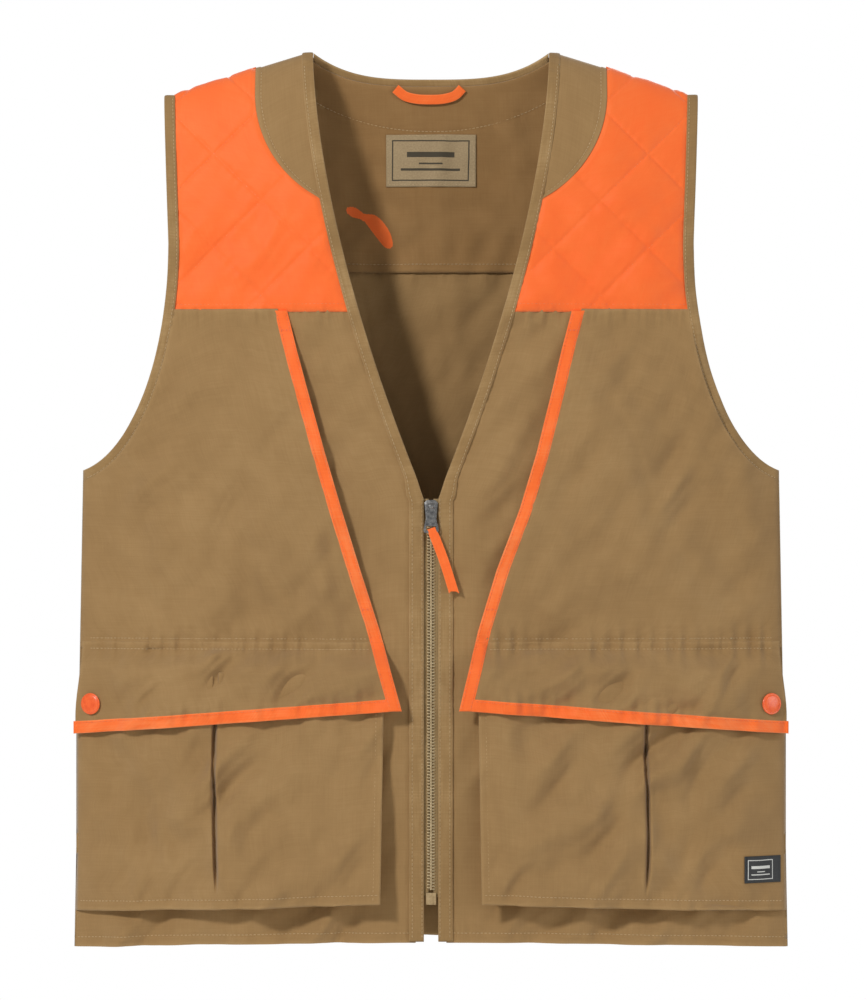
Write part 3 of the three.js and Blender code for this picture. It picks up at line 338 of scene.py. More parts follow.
def points(x, z, out, facing, open_side=False):
    """The 3-D points of a layer over a grid of x and z."""
    x, z = np.broadcast_arrays(np.asarray(x, float), np.asarray(z, float))
    y, lowered = lie(x, z, out, facing, open_side)
    return np.stack([x, y, lowered], -1)


def grid(rows, columns):
    """v upwards by rows and u across by columns, both from 0 to 1."""
    return np.meshgrid(np.linspace(0, 1, rows), np.linspace(0, 1, columns), indexing="ij")


# %% [markdown]
# ## From points to meshes
# A wide panel is a shell: an outer and an inner grid joined round the edge. A binding,
# tape or strap is a tube: a rounded section carried along a path. Both carry a UV map in
# metres, which the weave follows, and an attribute that is 1 at an edge, for wear.

# %% Mesh helpers
made = []


def lay_uv(mesh, uv):
    """Writes one UV pair per vertex to every corner that uses the vertex."""
    layer = mesh.uv_layers.new(name="cloth")
    corner = np.zeros(len(mesh.loops), np.int32)
    mesh.loops.foreach_get("vertex_index", corner)
    layer.data.foreach_set("uv", uv[corner].astype(np.float32).ravel())


def signed_volume(verts, quads):
    a, b, c, d = (verts[quads[:, k]] for k in range(4))
    six = (np.cross(a, b) * c).sum(-1) + (np.cross(a, c) * d).sum(-1)
    return six.sum() / 6


def build(name, verts, quads, uv, edge, material):
    """Makes the object; the faces are turned round if the closed mesh is inside out."""
    if signed_volume(verts, quads) < 0:
        quads = quads[:, ::-1]
    mesh = bpy.data.meshes.new(name)
    mesh.from_pydata(verts.tolist(), [], quads.tolist())
    mesh.shade_smooth()
    lay_uv(mesh, uv)
    mesh.attributes.new("wear", "FLOAT", "POINT").data.foreach_set(
        "value", edge.astype(np.float32)
    )
    mesh.materials.append(material)
    piece = bpy.data.objects.new(name, mesh)
    bpy.context.collection.objects.link(piece)
    made.append(piece)
    return piece


def arc(grid_points, axis):
    """Running length along one direction of a grid."""
    step = np.linalg.norm(np.diff(grid_points, axis=axis), axis=-1)
    start = np.zeros_like(np.take(step, [0], axis=axis))
    return np.cumsum(np.concatenate([start, step], axis=axis), axis=axis)


def size_of(outer):
    """Flat width and length of a grid's cloth, and its area, from its arc lengths."""
    width = float(arc(outer, 1)[:, -1].max())
    length = float(arc(outer, 0)[-1].max())
    a = outer[1:, 1:] - outer[:-1, :-1]
    b = outer[1:, :-1] - outer[:-1, 1:]
    area = float(np.linalg.norm(np.cross(a, b), axis=-1).sum() / 2)
    return width, length, min(area, width * length)


def shell(name, outer, inner, material):
    """A closed sheet between two grids of points: outer faces, inner faces and a rim."""
    rows, columns = outer.shape[:2]
    verts = np.concatenate([outer.reshape(-1, 3), inner.reshape(-1, 3)])
    at = np.arange(rows * columns).reshape(rows, columns)
    top = np.stack([at[:-1, :-1], at[:-1, 1:], at[1:, 1:], at[1:, :-1]], -1).reshape(-1, 4)
    loop = np.concatenate([at[0], at[1:, -1], at[-1, -2::-1], at[-2:0:-1, 0]])
    after = np.roll(loop, -1)
    low = rows * columns
    rim = np.stack([after, loop, loop + low, after + low], -1)
    quads = np.concatenate([top, top[:, ::-1] + low, rim])
    u, v = arc(outer, 1), arc(outer, 0)
    uv = np.stack([u, v], -1).reshape(-1, 2)
    far = np.minimum(np.minimum(u, u[:, -1:] - u), np.minimum(v, v[-1:] - v))
    edge = bump(far, 2.5 * MM).ravel()
    return build(name, verts, quads, np.tile(uv, (2, 1)), np.tile(edge, 2), material)


def tube(name, rings, material):
    """A closed tube through rings of points (stations, points round, 3), ends capped."""
    stations, around = rings.shape[:2]
    at = np.arange(stations * around).reshape(stations, around)
    side = np.roll(at, -1, axis=1)
    quads = np.stack([at[:-1], side[:-1], side[1:], at[1:]], -1).reshape(-1, 4)
    half = around // 2
    near = np.arange(half - 1)
    back = (around - 1) - near
    cap = np.stack([near, near + 1, back - 1, back], -1)
    quads = np.concatenate([quads, cap[:, ::-1] + at[0, 0], cap + at[-1, 0]])
    u = arc(np.concatenate([rings, rings[:, :1]], 1), 1)[:, :-1]
    v = arc(rings, 0)
    uv = np.stack([u, v], -1).reshape(-1, 2)
    turn = np.abs(np.cos(math.pi * (np.arange(around) + 0.5) / half))
    edge = np.broadcast_to(turn**6, (stations, around)).ravel()
    return build(name, rings.reshape(-1, 3), quads, uv, edge, material)


def section(count=16, power=4.0):
    """A rounded oblong: w across from 0 to 1, and h from -1 to 1, as a superellipse."""
    angle = 2 * math.pi * (np.arange(count) + 0.5) / count
    cos, sin = np.cos(angle), np.sin(angle)
    w = 0.5 + 0.5 * np.sign(cos) * np.abs(cos) ** (2 / power)
    return w, np.sign(sin) * np.abs(sin) ** (2 / power)


def strip(name, edge, out, thick, facing, material, stations, open_side=False, count=16):
    """A band of cloth: the rounded section is carried along edge(t, w), which gives x and
    z for a share t of the way and a share w across; out is the height of its middle."""
    w, h = section(count)
    t = np.linspace(0, 1, stations)[:, None]
    x, z = edge(t, w[None, :])
    height = out(x, z) if callable(out) else out
    rings = points(x, z, height + thick / 2 * h[None, :], facing, open_side)
    return tube(name, rings, material)


print("a section has", len(section()[0]), "points")

# %% [markdown]
# ## Finishes
# Every finish is worked out by nodes. Canvas is one plain weave with slubs, thick places
# in single threads, that show as faint streaks both ways; its colour is a ramp driven by
# those streaks and a slow mottle, and folded edges are paler because they rub.


# %% Cloth finishes
def srgb(r, g, b):
    """Linear colour from 0-255 display values."""
    c = np.array([r, g, b]) / 255
    return (*np.where(c <= 0.04045, c / 12.92, ((c + 0.055) / 1.055) ** 2.4), 1.0)


class Nodes:
    """A short way to add nodes to a material and join them."""

    def __init__(self, name):
        self.material = bpy.data.materials.new(name)
        self.material.use_nodes = True
        self.tree = self.material.node_tree
        self.shader = self.tree.nodes["Principled BSDF"]

    def add(self, kind, values=(), **settings):
        node = self.tree.nodes.new(kind)
        for key, setting in settings.items():
            setattr(node, key, setting)
        for key, given in dict(values).items():
            if isinstance(given, bpy.types.NodeSocket):
                self.tree.links.new(given, node.inputs[key])
            else:
                node.inputs[key].default_value = given
        return node

    def number(self, operation, a, b=0.0):
        return self.add("ShaderNodeMath", {0: a, 1: b}, operation=operation).outputs[0]

    def noise(self, at, stretch, detail=2.0):
        """Noise on a coordinate, with so many cells a metre along each axis."""
        spread = self.add("ShaderNodeMapping", {"Vector": at, "Scale": stretch})
        return self.add(
            "ShaderNodeTexNoise",
            {"Vector": spread.outputs[0], "Scale": 1.0, "Detail": detail, "Roughness": 0.6},
        ).outputs["Fac"]

    def ramp(self, fac, stops):
        node = self.add("ShaderNodeValToRGB", {"Fac": fac})
        band = node.color_ramp
        while len(band.elements) < len(stops):
            band.elements.new(0.5)
        for element, (where, colour) in zip(band.elements, stops):
            element.position, element.color = where, colour
        return node.outputs["Color"]

    def relief(self, height, distance, strength=1.0):
        node = self.add(
            "ShaderNodeBump", {"Height": height, "Distance": distance, "Strength": strength}
        )
        self.tree.links.new(node.outputs[0], self.shader.inputs["Normal"])

    def colour(self, socket):
        self.tree.links.new(socket, self.shader.inputs["Base Color"])

    def finish(self, **values):
        for key, given in values.items():
            self.shader.inputs[key.replace("_", " ")].default_value = given


def cloth(name, dark, middle, light, thread=0.55, streak=0.5, rough=0.85, sheen=0.2,
          relief=0.05, rib=False):
    """A woven finish. thread is the pitch of the threads in millimetres; rib leaves only
    the threads that run across, as in a tape."""
    n = Nodes(name)
    at = n.add("ShaderNodeUVMap", uv_map="cloth").outputs[0]
    split = n.add("ShaderNodeSeparateXYZ", {0: at})
    turns = 2 * math.pi / (thread * MM)
    along = n.number("SINE", n.number("MULTIPLY", split.outputs[1], turns))
    across = n.number("SINE", n.number("MULTIPLY", split.outputs[0], turns))
    weave = along if rib else n.number("MULTIPLY", along, across)
    warp = n.noise(at, (900, 26, 1), 3)
    weft = n.noise(at, (22, 820, 1), 3)
    mottle = n.noise(at, (46, 40, 1), 3)
    slow = n.noise(at, (9, 7, 1), 2)
    rub = n.add("ShaderNodeAttribute", attribute_name="wear").outputs["Fac"]
    lines = n.number("ADD", n.number("MULTIPLY", warp, streak), n.number("MULTIPLY", weft, streak))
    blotch = n.number("ADD", n.number("MULTIPLY", mottle, 0.4), n.number("MULTIPLY", slow, 0.65))
    total = n.number("ADD", lines, blotch)
    worn = n.number("ADD", total, n.number("MULTIPLY", rub, 0.22))
    centred = n.number("SUBTRACT", worn, streak + 0.525 - 0.5)
    n.colour(n.ramp(centred, [(0.22, dark), (0.5, middle), (0.8, light)]))
    height = n.number("ADD", n.number("MULTIPLY", weave, 0.3), n.number("MULTIPLY", lines, 1.6))
    n.relief(height, relief * MM)
    n.finish(Roughness=rough, Sheen_Weight=sheen, Sheen_Roughness=0.5, Specular_IOR_Level=0.25)
    return n.material


KHAKI_TONES = srgb(144, 112, 70), srgb(155, 122, 78), srgb(167, 134, 89)
khaki = cloth("khaki_canvas", *KHAKI_TONES, streak=0.34)
khaki_binding = cloth(
    "khaki_binding", srgb(136, 105, 64), srgb(152, 120, 76), srgb(182, 150, 104), streak=0.3
)
lining = cloth(
    "khaki_lining", srgb(136, 101, 58), srgb(147, 111, 67), srgb(158, 122, 77), streak=0.34
)
orange_quilt = cloth(
    "orange_nylon", srgb(255, 104, 36), srgb(255, 112, 42), srgb(255, 122, 54),
    thread=0.4, streak=0.3, rough=0.6, sheen=0.35, relief=0.03,
)
orange_tape = cloth(
    "orange_tape", srgb(246, 96, 30), srgb(255, 114, 42), srgb(255, 150, 88),
    thread=0.9, streak=0.3, rough=0.62, sheen=0.3, relief=0.09, rib=True,
)
zip_tape = cloth(
    "zip_tape", srgb(120, 96, 60), srgb(146, 120, 80), srgb(166, 140, 98), thread=0.7, rib=True
)
print("cloth finishes", [m.name for m in bpy.data.materials])


# %% Thread, metal and moulded finishes
def yarn(name, dark, light):
    """Sewing thread: two colours twisted, from fine noise."""
    n = Nodes(name)
    at = n.add("ShaderNodeTexCoord").outputs["Object"]
    twist = n.noise(at, (1400, 1400, 1400), 1)
    n.colour(n.ramp(twist, [(0.3, dark), (0.7, light)]))
    n.relief(twist, 0.05 * MM)
    n.finish(Roughness=0.6, Sheen_Weight=0.3)
    return n.material


def hard(name, tones, metal, rough, scratch=0.1, coat=0.0):
    """Metal or moulded plastic: cloudy tone, fine scratches along x, uneven gloss."""
    n = Nodes(name)
    at = n.add("ShaderNodeTexCoord").outputs["Object"]
    cloud = n.noise(at, (420, 420, 420), 4)
    lines = n.noise(at, (300, 300, 5200), 2)
    n.colour(n.ramp(cloud, [(0.3, tones[0]), (0.72, tones[1])]))
    gloss = n.add(
        "ShaderNodeMapRange",
        {"Value": lines, "To Min": rough - scratch, "To Max": rough + scratch},
    )
    n.tree.links.new(gloss.outputs[0], n.shader.inputs["Roughness"])
    n.relief(lines, 0.02 * MM)
    n.finish(Metallic=metal, Coat_Weight=coat, Coat_Roughness=0.15)
    return n.material


khaki_thread = yarn("khaki_thread", srgb(176, 146, 100), srgb(212, 184, 138))
orange_thread = yarn("orange_thread", srgb(228, 92, 34), srgb(255, 150, 92))
gunmetal = hard("gunmetal", (srgb(112, 112, 114), srgb(186, 184, 180)), 1.0, 0.27, 0.08)
steel = hard("snap_steel", (srgb(120, 120, 118), srgb(186, 186, 182)), 1.0, 0.3)
enamel = hard("orange_enamel", (srgb(236, 84, 26), srgb(255, 112, 48)), 0.0, 0.34, 0.06, 0.3)
tooth = hard("zip_teeth", (srgb(166, 144, 106), srgb(204, 184, 146)), 0.35, 0.36)
tan_plastic = hard("zip_box_tan", (srgb(150, 124, 84), srgb(186, 160, 118)), 0.0, 0.5)


def framed(name, ground, light, size, border, bars, rough, thread):
    """A woven or moulded label: a plain ground, a light or dark frame, and short plain
    bars in its middle. size is the label's width and height in metres."""
    n = Nodes(name)
    at = n.add("ShaderNodeUVMap", uv_map="cloth").outputs[0]
    split = n.add("ShaderNodeSeparateXYZ", {0: at})
    x = n.number("ABSOLUTE", n.number("SUBTRACT", split.outputs[0], size[0] / 2))
    z = n.number("ABSOLUTE", n.number("SUBTRACT", split.outputs[1], size[1] / 2))
    inset = n.number(
        "MINIMUM",
        n.number("SUBTRACT", size[0] / 2, x),
        n.number("SUBTRACT", size[1] / 2, z),
    )
    mark = n.add(
        "ShaderNodeMath",
        {0: inset, 1: border[0], 2: border[1] / 2},
        operation="COMPARE",
    ).outputs[0]
    for height, half_long, half_thick in bars:
        near = n.number("ABSOLUTE", n.number("SUBTRACT", split.outputs[1], height))
        bar = n.number(
            "MULTIPLY",
            n.number("LESS_THAN", near, half_thick),
            n.number("LESS_THAN", x, half_long),
        )
        mark = n.number("MAXIMUM", mark, bar)
    cloud = n.noise(at, (700, 700, 1), 3)
    tone = n.ramp(cloud, [(0.3, ground[0]), (0.7, ground[1])])
    both = n.add("ShaderNodeMix", {"Factor": mark, 6: tone, 7: light}, data_type="RGBA")
    n.colour(both.outputs[2])
    turns = 2 * math.pi / (thread * MM)
    ribs = n.number("SINE", n.number("MULTIPLY", split.outputs[1], turns))
    n.relief(n.number("ADD", n.number("MULTIPLY", ribs, 0.3), mark), 0.12 * MM)
    n.finish(Roughness=rough, Sheen_Weight=0.1)
    return n.material


LABEL_SIZE = (75 * MM, 44 * MM)
label_cloth = framed(
    "label_woven", (srgb(156, 133, 98), srgb(176, 153, 116)), srgb(70, 62, 46), LABEL_SIZE,
    (5.5 * MM, 1.1 * MM),
    [(27 * MM, 20 * MM, 2.2 * MM), (19.5 * MM, 10 * MM, 0.7 * MM), (14.5 * MM, 25 * MM, 1.0 * MM)],
    0.8, 0.5,
)
BADGE_SIZE = (31 * MM, 22 * MM)
badge_black = framed(
    "badge_moulded", (srgb(24, 26, 28), srgb(40, 42, 44)), srgb(215, 215, 210), BADGE_SIZE,
    (3.2 * MM, 0.7 * MM),
    [(13 * MM, 9.5 * MM, 1.2 * MM), (9.4 * MM, 4 * MM, 0.4 * MM), (7 * MM, 9.5 * MM, 0.45 * MM)],
    0.45, 0.8,
)
print("materials", len(bpy.data.materials))

# %% [markdown]
# ## Stitches
# A seam could be drawn by a texture, but then it has no height and slides at a bend. Here
# each stitch is a short spindle of a few faces, laid along a path on the cloth.

# %% Stitches
STITCH, STITCH_GAP, STITCH_THICK = 2.5 * MM, 3.3 * MM, 0.55 * MM


def stitches(name, paths, surface, material, lift=0.1 * MM, thick=STITCH_THICK,
             pitch=STITCH_GAP, length=STITCH):
    """Rows of stitches. Each path is a pair of arrays, x and z; surface(x, z) gives y. The
    spindle is three rings of four points and two tips, along the path's direction."""
    centres, ways, ups = [], [], []
    for px, pz in paths:
        line = np.stack([px, surface(px, pz), pz], -1)
        run = np.concatenate([[0], np.cumsum(np.linalg.norm(np.diff(line, axis=0), axis=1))])
        at = np.arange(pitch / 2, run[-1], pitch)
        ends = []
        for shift in (-0.5, 0.5):
            x, z = (np.interp(at + shift * length, run, p) for p in (px, pz))
            ends.append(np.stack([x, surface(x, z), z], -1))
        way = ends[1] - ends[0]
        x, z = ((ends[0] + ends[1]) / 2)[:, 0], ((ends[0] + ends[1]) / 2)[:, 2]
        side_x, side_z = -way[:, 2], way[:, 0]
        step = 0.2
        beside = np.stack([side_x, surface(x + side_x * step, z + side_z * step)
                           - surface(x - side_x * step, z - side_z * step), side_z], -1)
        beside[:, 1] /= 2 * step
        up = np.cross(way, beside)
        up /= np.linalg.norm(up, axis=1, keepdims=True) + 1e-12
        centres.append(np.stack([x, surface(x, z), z], -1))
        ways.append(way)
        ups.append(up)
    centre, way, up = (np.concatenate(a) for a in (centres, ways, ups))
    outwards = np.sign((up[:, 1] * np.sign(centre[:, 1] + 1e-9)).sum())
    up = up * outwards
    beside = np.cross(way, up)
    beside /= np.linalg.norm(beside, axis=1, keepdims=True) + 1e-12
    count = len(centre)
    angle = np.arange(4) * math.pi / 2
    rings = []
    for share, wide in ((-0.36, 0.75), (0.0, 1.0), (0.36, 0.75)):
        spin = (np.cos(angle)[:, None, None] * beside + np.sin(angle)[:, None, None] * up)
        rings.append(centre + share * way + spin * thick / 2 * wide + up * lift)
    tips = [centre + share * way - up * thick * 0.4 for share in (-0.5, 0.5)]
    verts = np.concatenate([np.stack(rings).reshape(12, count, 3), np.stack(tips)])
    verts = verts.transpose(1, 0, 2).reshape(-1, 3)
    side = [[r * 4 + k, r * 4 + (k + 1) % 4, r * 4 + 4 + (k + 1) % 4, r * 4 + 4 + k]
            for r in range(2) for k in range(4)]
    ends = [[(k + 1) % 4, k, 12] for k in range(4)]
    ends += [[8 + k, 8 + (k + 1) % 4, 13] for k in range(4)]
    start = (np.arange(count) * 14)[:, None, None]
    quads = (np.array(side)[None] + start).reshape(-1, 4)
    tris = (np.array(ends)[None] + start).reshape(-1, 3)
    one = verts[:14]
    whole = signed_volume(one, np.array(side))
    if whole < 0:
        quads, tris = quads[:, ::-1], tris[:, ::-1]
    mesh = bpy.data.meshes.new(name)
    mesh.from_pydata(verts.tolist(), [], quads.tolist() + tris.tolist())
    mesh.shade_smooth()
    mesh.materials.append(material)
    piece = bpy.data.objects.new(name, mesh)
    bpy.context.collection.objects.link(piece)
    made.append(piece)
    return piece


print("a stitch is", round(STITCH / MM, 1), "mm, one every", round(STITCH_GAP / MM, 1), "mm")

# %% [markdown]
# ## Joining pieces to the frame
# Each piece stands for named solids of the frame, which it hides, and most move with one of
# its bodies. The fronts are cloth from the shoulder down, so what crosses the shoulder is
# fixed in place and rides no body.

# %% Riding, and hiding what a piece stands for
ROOT = "back_and_shoulders"
WEARERS = {-1: "right", 1: "left"}


def stand_for(nodes):
    if nodes:
        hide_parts(*nodes)


def on_root(piece, nodes=()):
    stand_for(nodes)
    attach(piece, ROOT)


def twisting(piece, nodes=()):
    """For cloth that hangs from the shoulder: it is fixed in place, on no body."""
    stand_for(nodes)
    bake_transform(piece)


def on_front(piece, side, nodes=()):
    stand_for(nodes)
    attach(piece, f"{WEARERS[side]}_front")


def on_flap(piece, side, nodes=(), bend=True):
    """The flap turns about its seam. A piece that reaches the seam is fixed in place; the others
    ride the flap's body.
    """
    stand_for(nodes)
    if bend:
        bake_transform(piece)
    else:
        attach(piece, f"{WEARERS[side]}_flap")


def rising(inner_x, outer_x, bottom, top, rows, columns):
    """A plan whose rows climb from a bottom height to a top edge and crowd near it, where
    the cloth turns over the shoulder. x is found from z by repeating three times."""
    v, u = grid(rows, columns)
    share = 0.25 * (1 - v) + 0.75 * (1 - v) ** 2
    z = np.full(v.shape, -0.1)
    for _ in range(4):
        x = mix(inner_x(z), outer_x(z), u)
        low = bottom(x) if callable(bottom) else bottom
        z = top(x) - share * (top(x) - low)
    return x, z



# %% [markdown]
# ## Quilted shoulders
# Each shoulder is two layers of nylon with batting, stitched through in big diamonds. A
# cushion simulation could puff it up, but it would blur the stitch lines. The surface is
# the batting's height: full between the lines, pulled down along them, with small
# puckers beside every line.

# %% Quilt height
QUILT_CROSS, QUILT_STEP = (139.5 * MM, -127.3 * MM), 78 * MM
QUILT_EDGE = 5 * MM


def quilt_lines(x, z):
    """Distance to the nearest line of each family of diagonal stitch lines."""
    distances = []
    for sign in (1, -1):
        run = (np.abs(x) - QUILT_CROSS[0]) + sign * (z - QUILT_CROSS[1])
        off = np.abs((run + QUILT_STEP / 2) % QUILT_STEP - QUILT_STEP / 2)
        distances.append(off / math.sqrt(2))
    return distances


def quilt(x, z, rim, seed):
    """Batting height. rim is the distance to the piece's sewn edge."""
    near = np.minimum(*quilt_lines(x, z))
    puff = 2.2 + 1.5 * np.clip(near / (16 * MM), 0, 1) ** 0.6
    groove = 0.75 * bump(near, 1.3 * MM)
    gather = 0.22 * waves(x, z, seed, 0.009, 0.6, 3.0) * bump(near, 7 * MM)
    soft = 0.25 * waves(x, z, seed + 1, 0.035, 0.5, 3.0)
    edge = ease(rim / QUILT_EDGE)
    return mix(1.7, puff - groove + gather + soft, edge) * MM


def yoke_inner(z):
    """The yoke starts beside the patch, and under its tip beside the binding."""
    return np.maximum(patch_edge(z, GAP), front_edge(z, V_BINDING - 1 * MM))


def yoke_outer(z):
    return armhole(z, ARM_BINDING - 1 * MM)


def yoke_rim(x, z):
    out = np.abs(x)
    across = np.minimum(out - yoke_inner(z), yoke_outer(z) - out)
    return np.clip(np.minimum(across, z + YOKE_DROP), 0, 1)


def yoke_out(x, z):
    seam = puckers(x, z, 5, -YOKE_DROP, 0.35 * MM, 7 * MM)
    row = 0.35 * MM * bump(z + YOKE_DROP - 6.5 * MM, 1.2 * MM)
    return quilt(x, z, yoke_rim(x, z), 31) + seam - row


def yoke_y(x, z):
    return on_body(x, z, yoke_out(x, z), -1)


for side, wearer in WEARERS.items():
    x, z = rising(yoke_inner, yoke_outer, -YOKE_DROP, shoulder_z, 190, 84)
    outer = points(side * x, z, yoke_out(side * x, z), -1)
    x, z = rising(yoke_inner, yoke_outer, -YOKE_DROP, shoulder_z, 190, 84)
    pad = shell(f"{wearer}_yoke_quilt", outer, points(side * x, z, 0.3 * MM, -1), orange_quilt)
    twisting(pad, [f"{wearer}_shoulder_yoke"])

    lines = []
    for sign in (1, -1):
        for k in range(-3, 4):
            run = np.linspace(-0.2, 0.2, 1200)
            px = QUILT_CROSS[0] + run
            pz = QUILT_CROSS[1] - sign * (run - k * QUILT_STEP)
            inside = (px > yoke_inner(pz) + 1 * MM) & (px < yoke_outer(pz) - 1 * MM)
            inside &= (pz > -YOKE_DROP + 1 * MM) & (pz < shoulder_z(px) - 5 * MM)
            if inside.sum() > 30:
                lines.append((side * px[inside], pz[inside]))
    px = np.linspace(float(yoke_inner(-0.2124)) + 2 * MM, float(yoke_outer(-0.2124)) - 2 * MM, 80)
    lines.append((side * px, np.full(80, -YOKE_DROP + 6.5 * MM)))
    sewn = stitches(f"{wearer}_quilt_stitches", lines, yoke_y, orange_thread, thick=0.4 * MM)
    twisting(sewn)
print("quilt lines a shoulder:", len(lines) - 1)

# %% [markdown]
# ## Neck patches and shoulder linings
# A khaki patch with a round, topstitched rim lies between the neck binding and each
# orange shoulder, and joins the band behind the neck. Inside, a plain lining faces the
# quilting.

# %% Patches and linings
PATCH_TIP = -131.5 * MM


def binding_inner(z):
    return front_edge(z, V_BINDING - 1.5 * MM)


def patch_out(x, z):
    from_edge = patch_edge(z) - np.abs(x)
    rim = 0.9 * MM * ease((5 * MM - from_edge) / (1.6 * MM))
    wrinkle = 0.22 * MM * waves(x, z, 71, 0.03, 0.2, 2.0)
    row = 0.3 * MM * bump(from_edge - 4.2 * MM, 1.0 * MM)
    return 1.6 * MM + rim + wrinkle - row


def patch_y(x, z):
    return on_body(x, z, patch_out(x, z), -1)


def patch_outer(z):
    return np.maximum(patch_edge(z, 0.6 * MM), binding_inner(z) + 1 * MM)


for side, wearer in WEARERS.items():
    x, z = rising(binding_inner, patch_outer, PATCH_TIP, shoulder_z, 90, 44)
    outer = points(side * x, z, patch_out(side * x, z), -1)
    x, z = rising(binding_inner, patch_outer, PATCH_TIP, shoulder_z, 90, 44)
    patch = shell(f"{wearer}_patch", outer, points(side * x, z, 0.2 * MM, -1), khaki)
    twisting(patch, [f"{wearer}_neck_patch"])

    pz = np.linspace(PATCH_TIP + 4 * MM, -6 * MM, 160)
    px = patch_edge(pz, -4.2 * MM)
    keep = (px > binding_inner(pz) + 3 * MM) & (pz < shoulder_z(px) - 6 * MM)
    row = [(side * px[keep], pz[keep])]
    sewn = stitches(f"{wearer}_patch_stitches", row, patch_y, khaki_thread)
    twisting(sewn)

    def lined(out, rows=110, columns=50):
        a, b = rising(binding_inner, yoke_outer, -YOKE_DROP - 4 * MM, shoulder_z, rows, columns)
        wrinkle = 0.5 * MM * creases(side * a, b, 45, 0.06, 0.5, 1.4)
        return points(side * a, b, out + wrinkle, -1)

    inside = shell(f"{wearer}_shoulder_lining", lined(-2.6 * MM), lined(-3.4 * MM), lining)
    twisting(inside, [f"{wearer}_yoke_lining"])
    size_of(lined(-2.6 * MM))
print("patch tip at", PATCH_TIP)

# %% [markdown]
# ## Front panels
# Each front is one canvas panel from the yoke seam to the hem. Its upper edge gathers a
# little where it is sewn to the quilting, and the hem is turned up and stitched.

# %% Front panel
FRONT_TOP = -YOKE_DROP - GAP
SIDE_SHARE = 0.7


def side_edge(v, z_top, z_bottom, inset=0):
    """The outer edge of a front: up the side seam, then round the armhole by angle."""
    above = (1 - v) / (1 - SIDE_SHARE)
    ax, az = underarm(z_top, np.minimum(above, 1), inset)
    _, corner = underarm(z_top, 1, inset)
    z = mix(z_bottom, corner, v / SIDE_SHARE)
    return np.where(above < 1, ax, side_half(z)), np.where(above < 1, az, z)


def ruled(inner, outer, rows, columns):
    """A plan of straight rows between two edges; each edge gives x and z for v."""
    v, u = grid(rows, columns)
    (ax, az), (bx, bz) = inner(v), outer(v)
    return mix(ax, bx, u), mix(az, bz, u)


def panel_out(x, z):
    seam = puckers(x, z, 7, FRONT_TOP, 0.55 * MM, 10 * MM)
    hem = puckers(x, z, 8, hem_z(x) + 8 * MM, 0.28 * MM, 7 * MM, 0.012)
    return seam + hem - 0.3 * MM * bump(z - hem_z(x) - 8 * MM, 1.1 * MM)


def panel_y(x, z):
    return on_body(x, z, CLOTH + panel_out(x, z), -1)


def panel_inner_edge(v):
    z = mix(hem_z(V_BOTTOM_HALF), FRONT_TOP + 4 * MM, v)
    return front_edge(z, V_BINDING - 1.5 * MM), z


def panel_side_edge(v):
    x, z = side_edge(v, FRONT_TOP + 4 * MM, float(hem_z(HEM_HALF)), ARM_BINDING - 1.5 * MM)
    return x, z


def hemmed(x, z, v_rows):
    """Moves the lowest rows onto the arched hem."""
    share = 1 - v_rows
    low = z + share**8 * (hem_z(x) - z)
    return x * side_half(low) / side_half(z), low


for side, wearer in WEARERS.items():
    x, z = ruled(panel_inner_edge, panel_side_edge, 210, 112)
    x, z = hemmed(x, z, grid(210, 112)[0])
    out = panel_out(side * x, z)
    outer = points(side * x, z, CLOTH + out, -1)
    inner = points(side * x * 0.998, z, out, -1)
    panel = shell(f"{wearer}_front_cloth", outer, inner, khaki)
    twisting(panel, [f"{wearer}_front_panel"])
    hem_x = np.linspace(V_BOTTOM_HALF + V_BINDING, HEM_HALF - 3 * MM, 300)
    sewn = stitches(
        f"{wearer}_hem_stitches", [(side * hem_x, hem_z(hem_x) + 8 * MM)], panel_y, khaki_thread
    )
    on_front(sewn, side)
print("front panel", [round(s, 3) for s in size_of(outer)])

# %% [markdown]
# ## Bindings
# The V, the armholes and the back neck are bound: a strip is folded over the raw edge and
# topstitched. Each is one rounded section carried along its edge, so that it has a soft
# roll on both sides, with the stitches near its inner edge.

# %% Neck and front binding
PLACKET_BOTTOM = float(hem_z(V_BOTTOM_HALF)) + 1 * MM


def v_binding_y(x, z):
    return on_body(x, z, 3.4 * MM + binding_roll(x, z), -1)


def binding_roll(x, z):
    """The binding is never quite even: slow changes of height, and small puckers."""
    slow = 0.25 * waves(x, z, 91, 0.045, 1.4, 1.0)
    fine = 0.26 * waves(x, z, 92, 0.009, 1.5, 0.8)
    return (slow + fine) * MM


def climb(t, top, bottom):
    """Heights from a bottom up to a top, crowded near the top where the cloth turns."""
    return top - (top - bottom) * (0.35 * (1 - t) + 0.65 * (1 - t) ** 2)


for side, wearer in WEARERS.items():
    def edge(t, w, side=side):
        top = float(shoulder_z(NECK_HALF)) - 3 * MM
        z = climb(t, top, PLACKET_BOTTOM) + 0 * w
        beside_zip = ease((-z - V_DROP + 0.02) / 0.02)
        width = V_BINDING + 4 * MM * beside_zip
        clear = 1.1 * MM * beside_zip
        return side * front_edge(z, mix(clear, width, w)), z

    out = lambda x, z: 1.6 * MM + binding_roll(x, z)
    v_binding = strip(f"{wearer}_v_binding", edge, out, 3.6 * MM, -1, khaki_binding, 420)
    twisting(v_binding,
             [f"{wearer}_neck_binding", f"{wearer}_front_edging"])
    rows = []
    for w, high in ((0.80, -14 * MM), (0.2, -V_DROP)):
        rz = np.linspace(PLACKET_BOTTOM + 3 * MM, high, 420)
        width = V_BINDING + 4 * MM * ease((-rz - V_DROP + 0.02) / 0.02)
        rows.append((side * front_edge(rz, w * width), rz))
    sewn = stitches(f"{wearer}_v_stitches", rows, v_binding_y, khaki_thread)
    twisting(sewn)
print("V binding ends at", round(PLACKET_BOTTOM, 3))


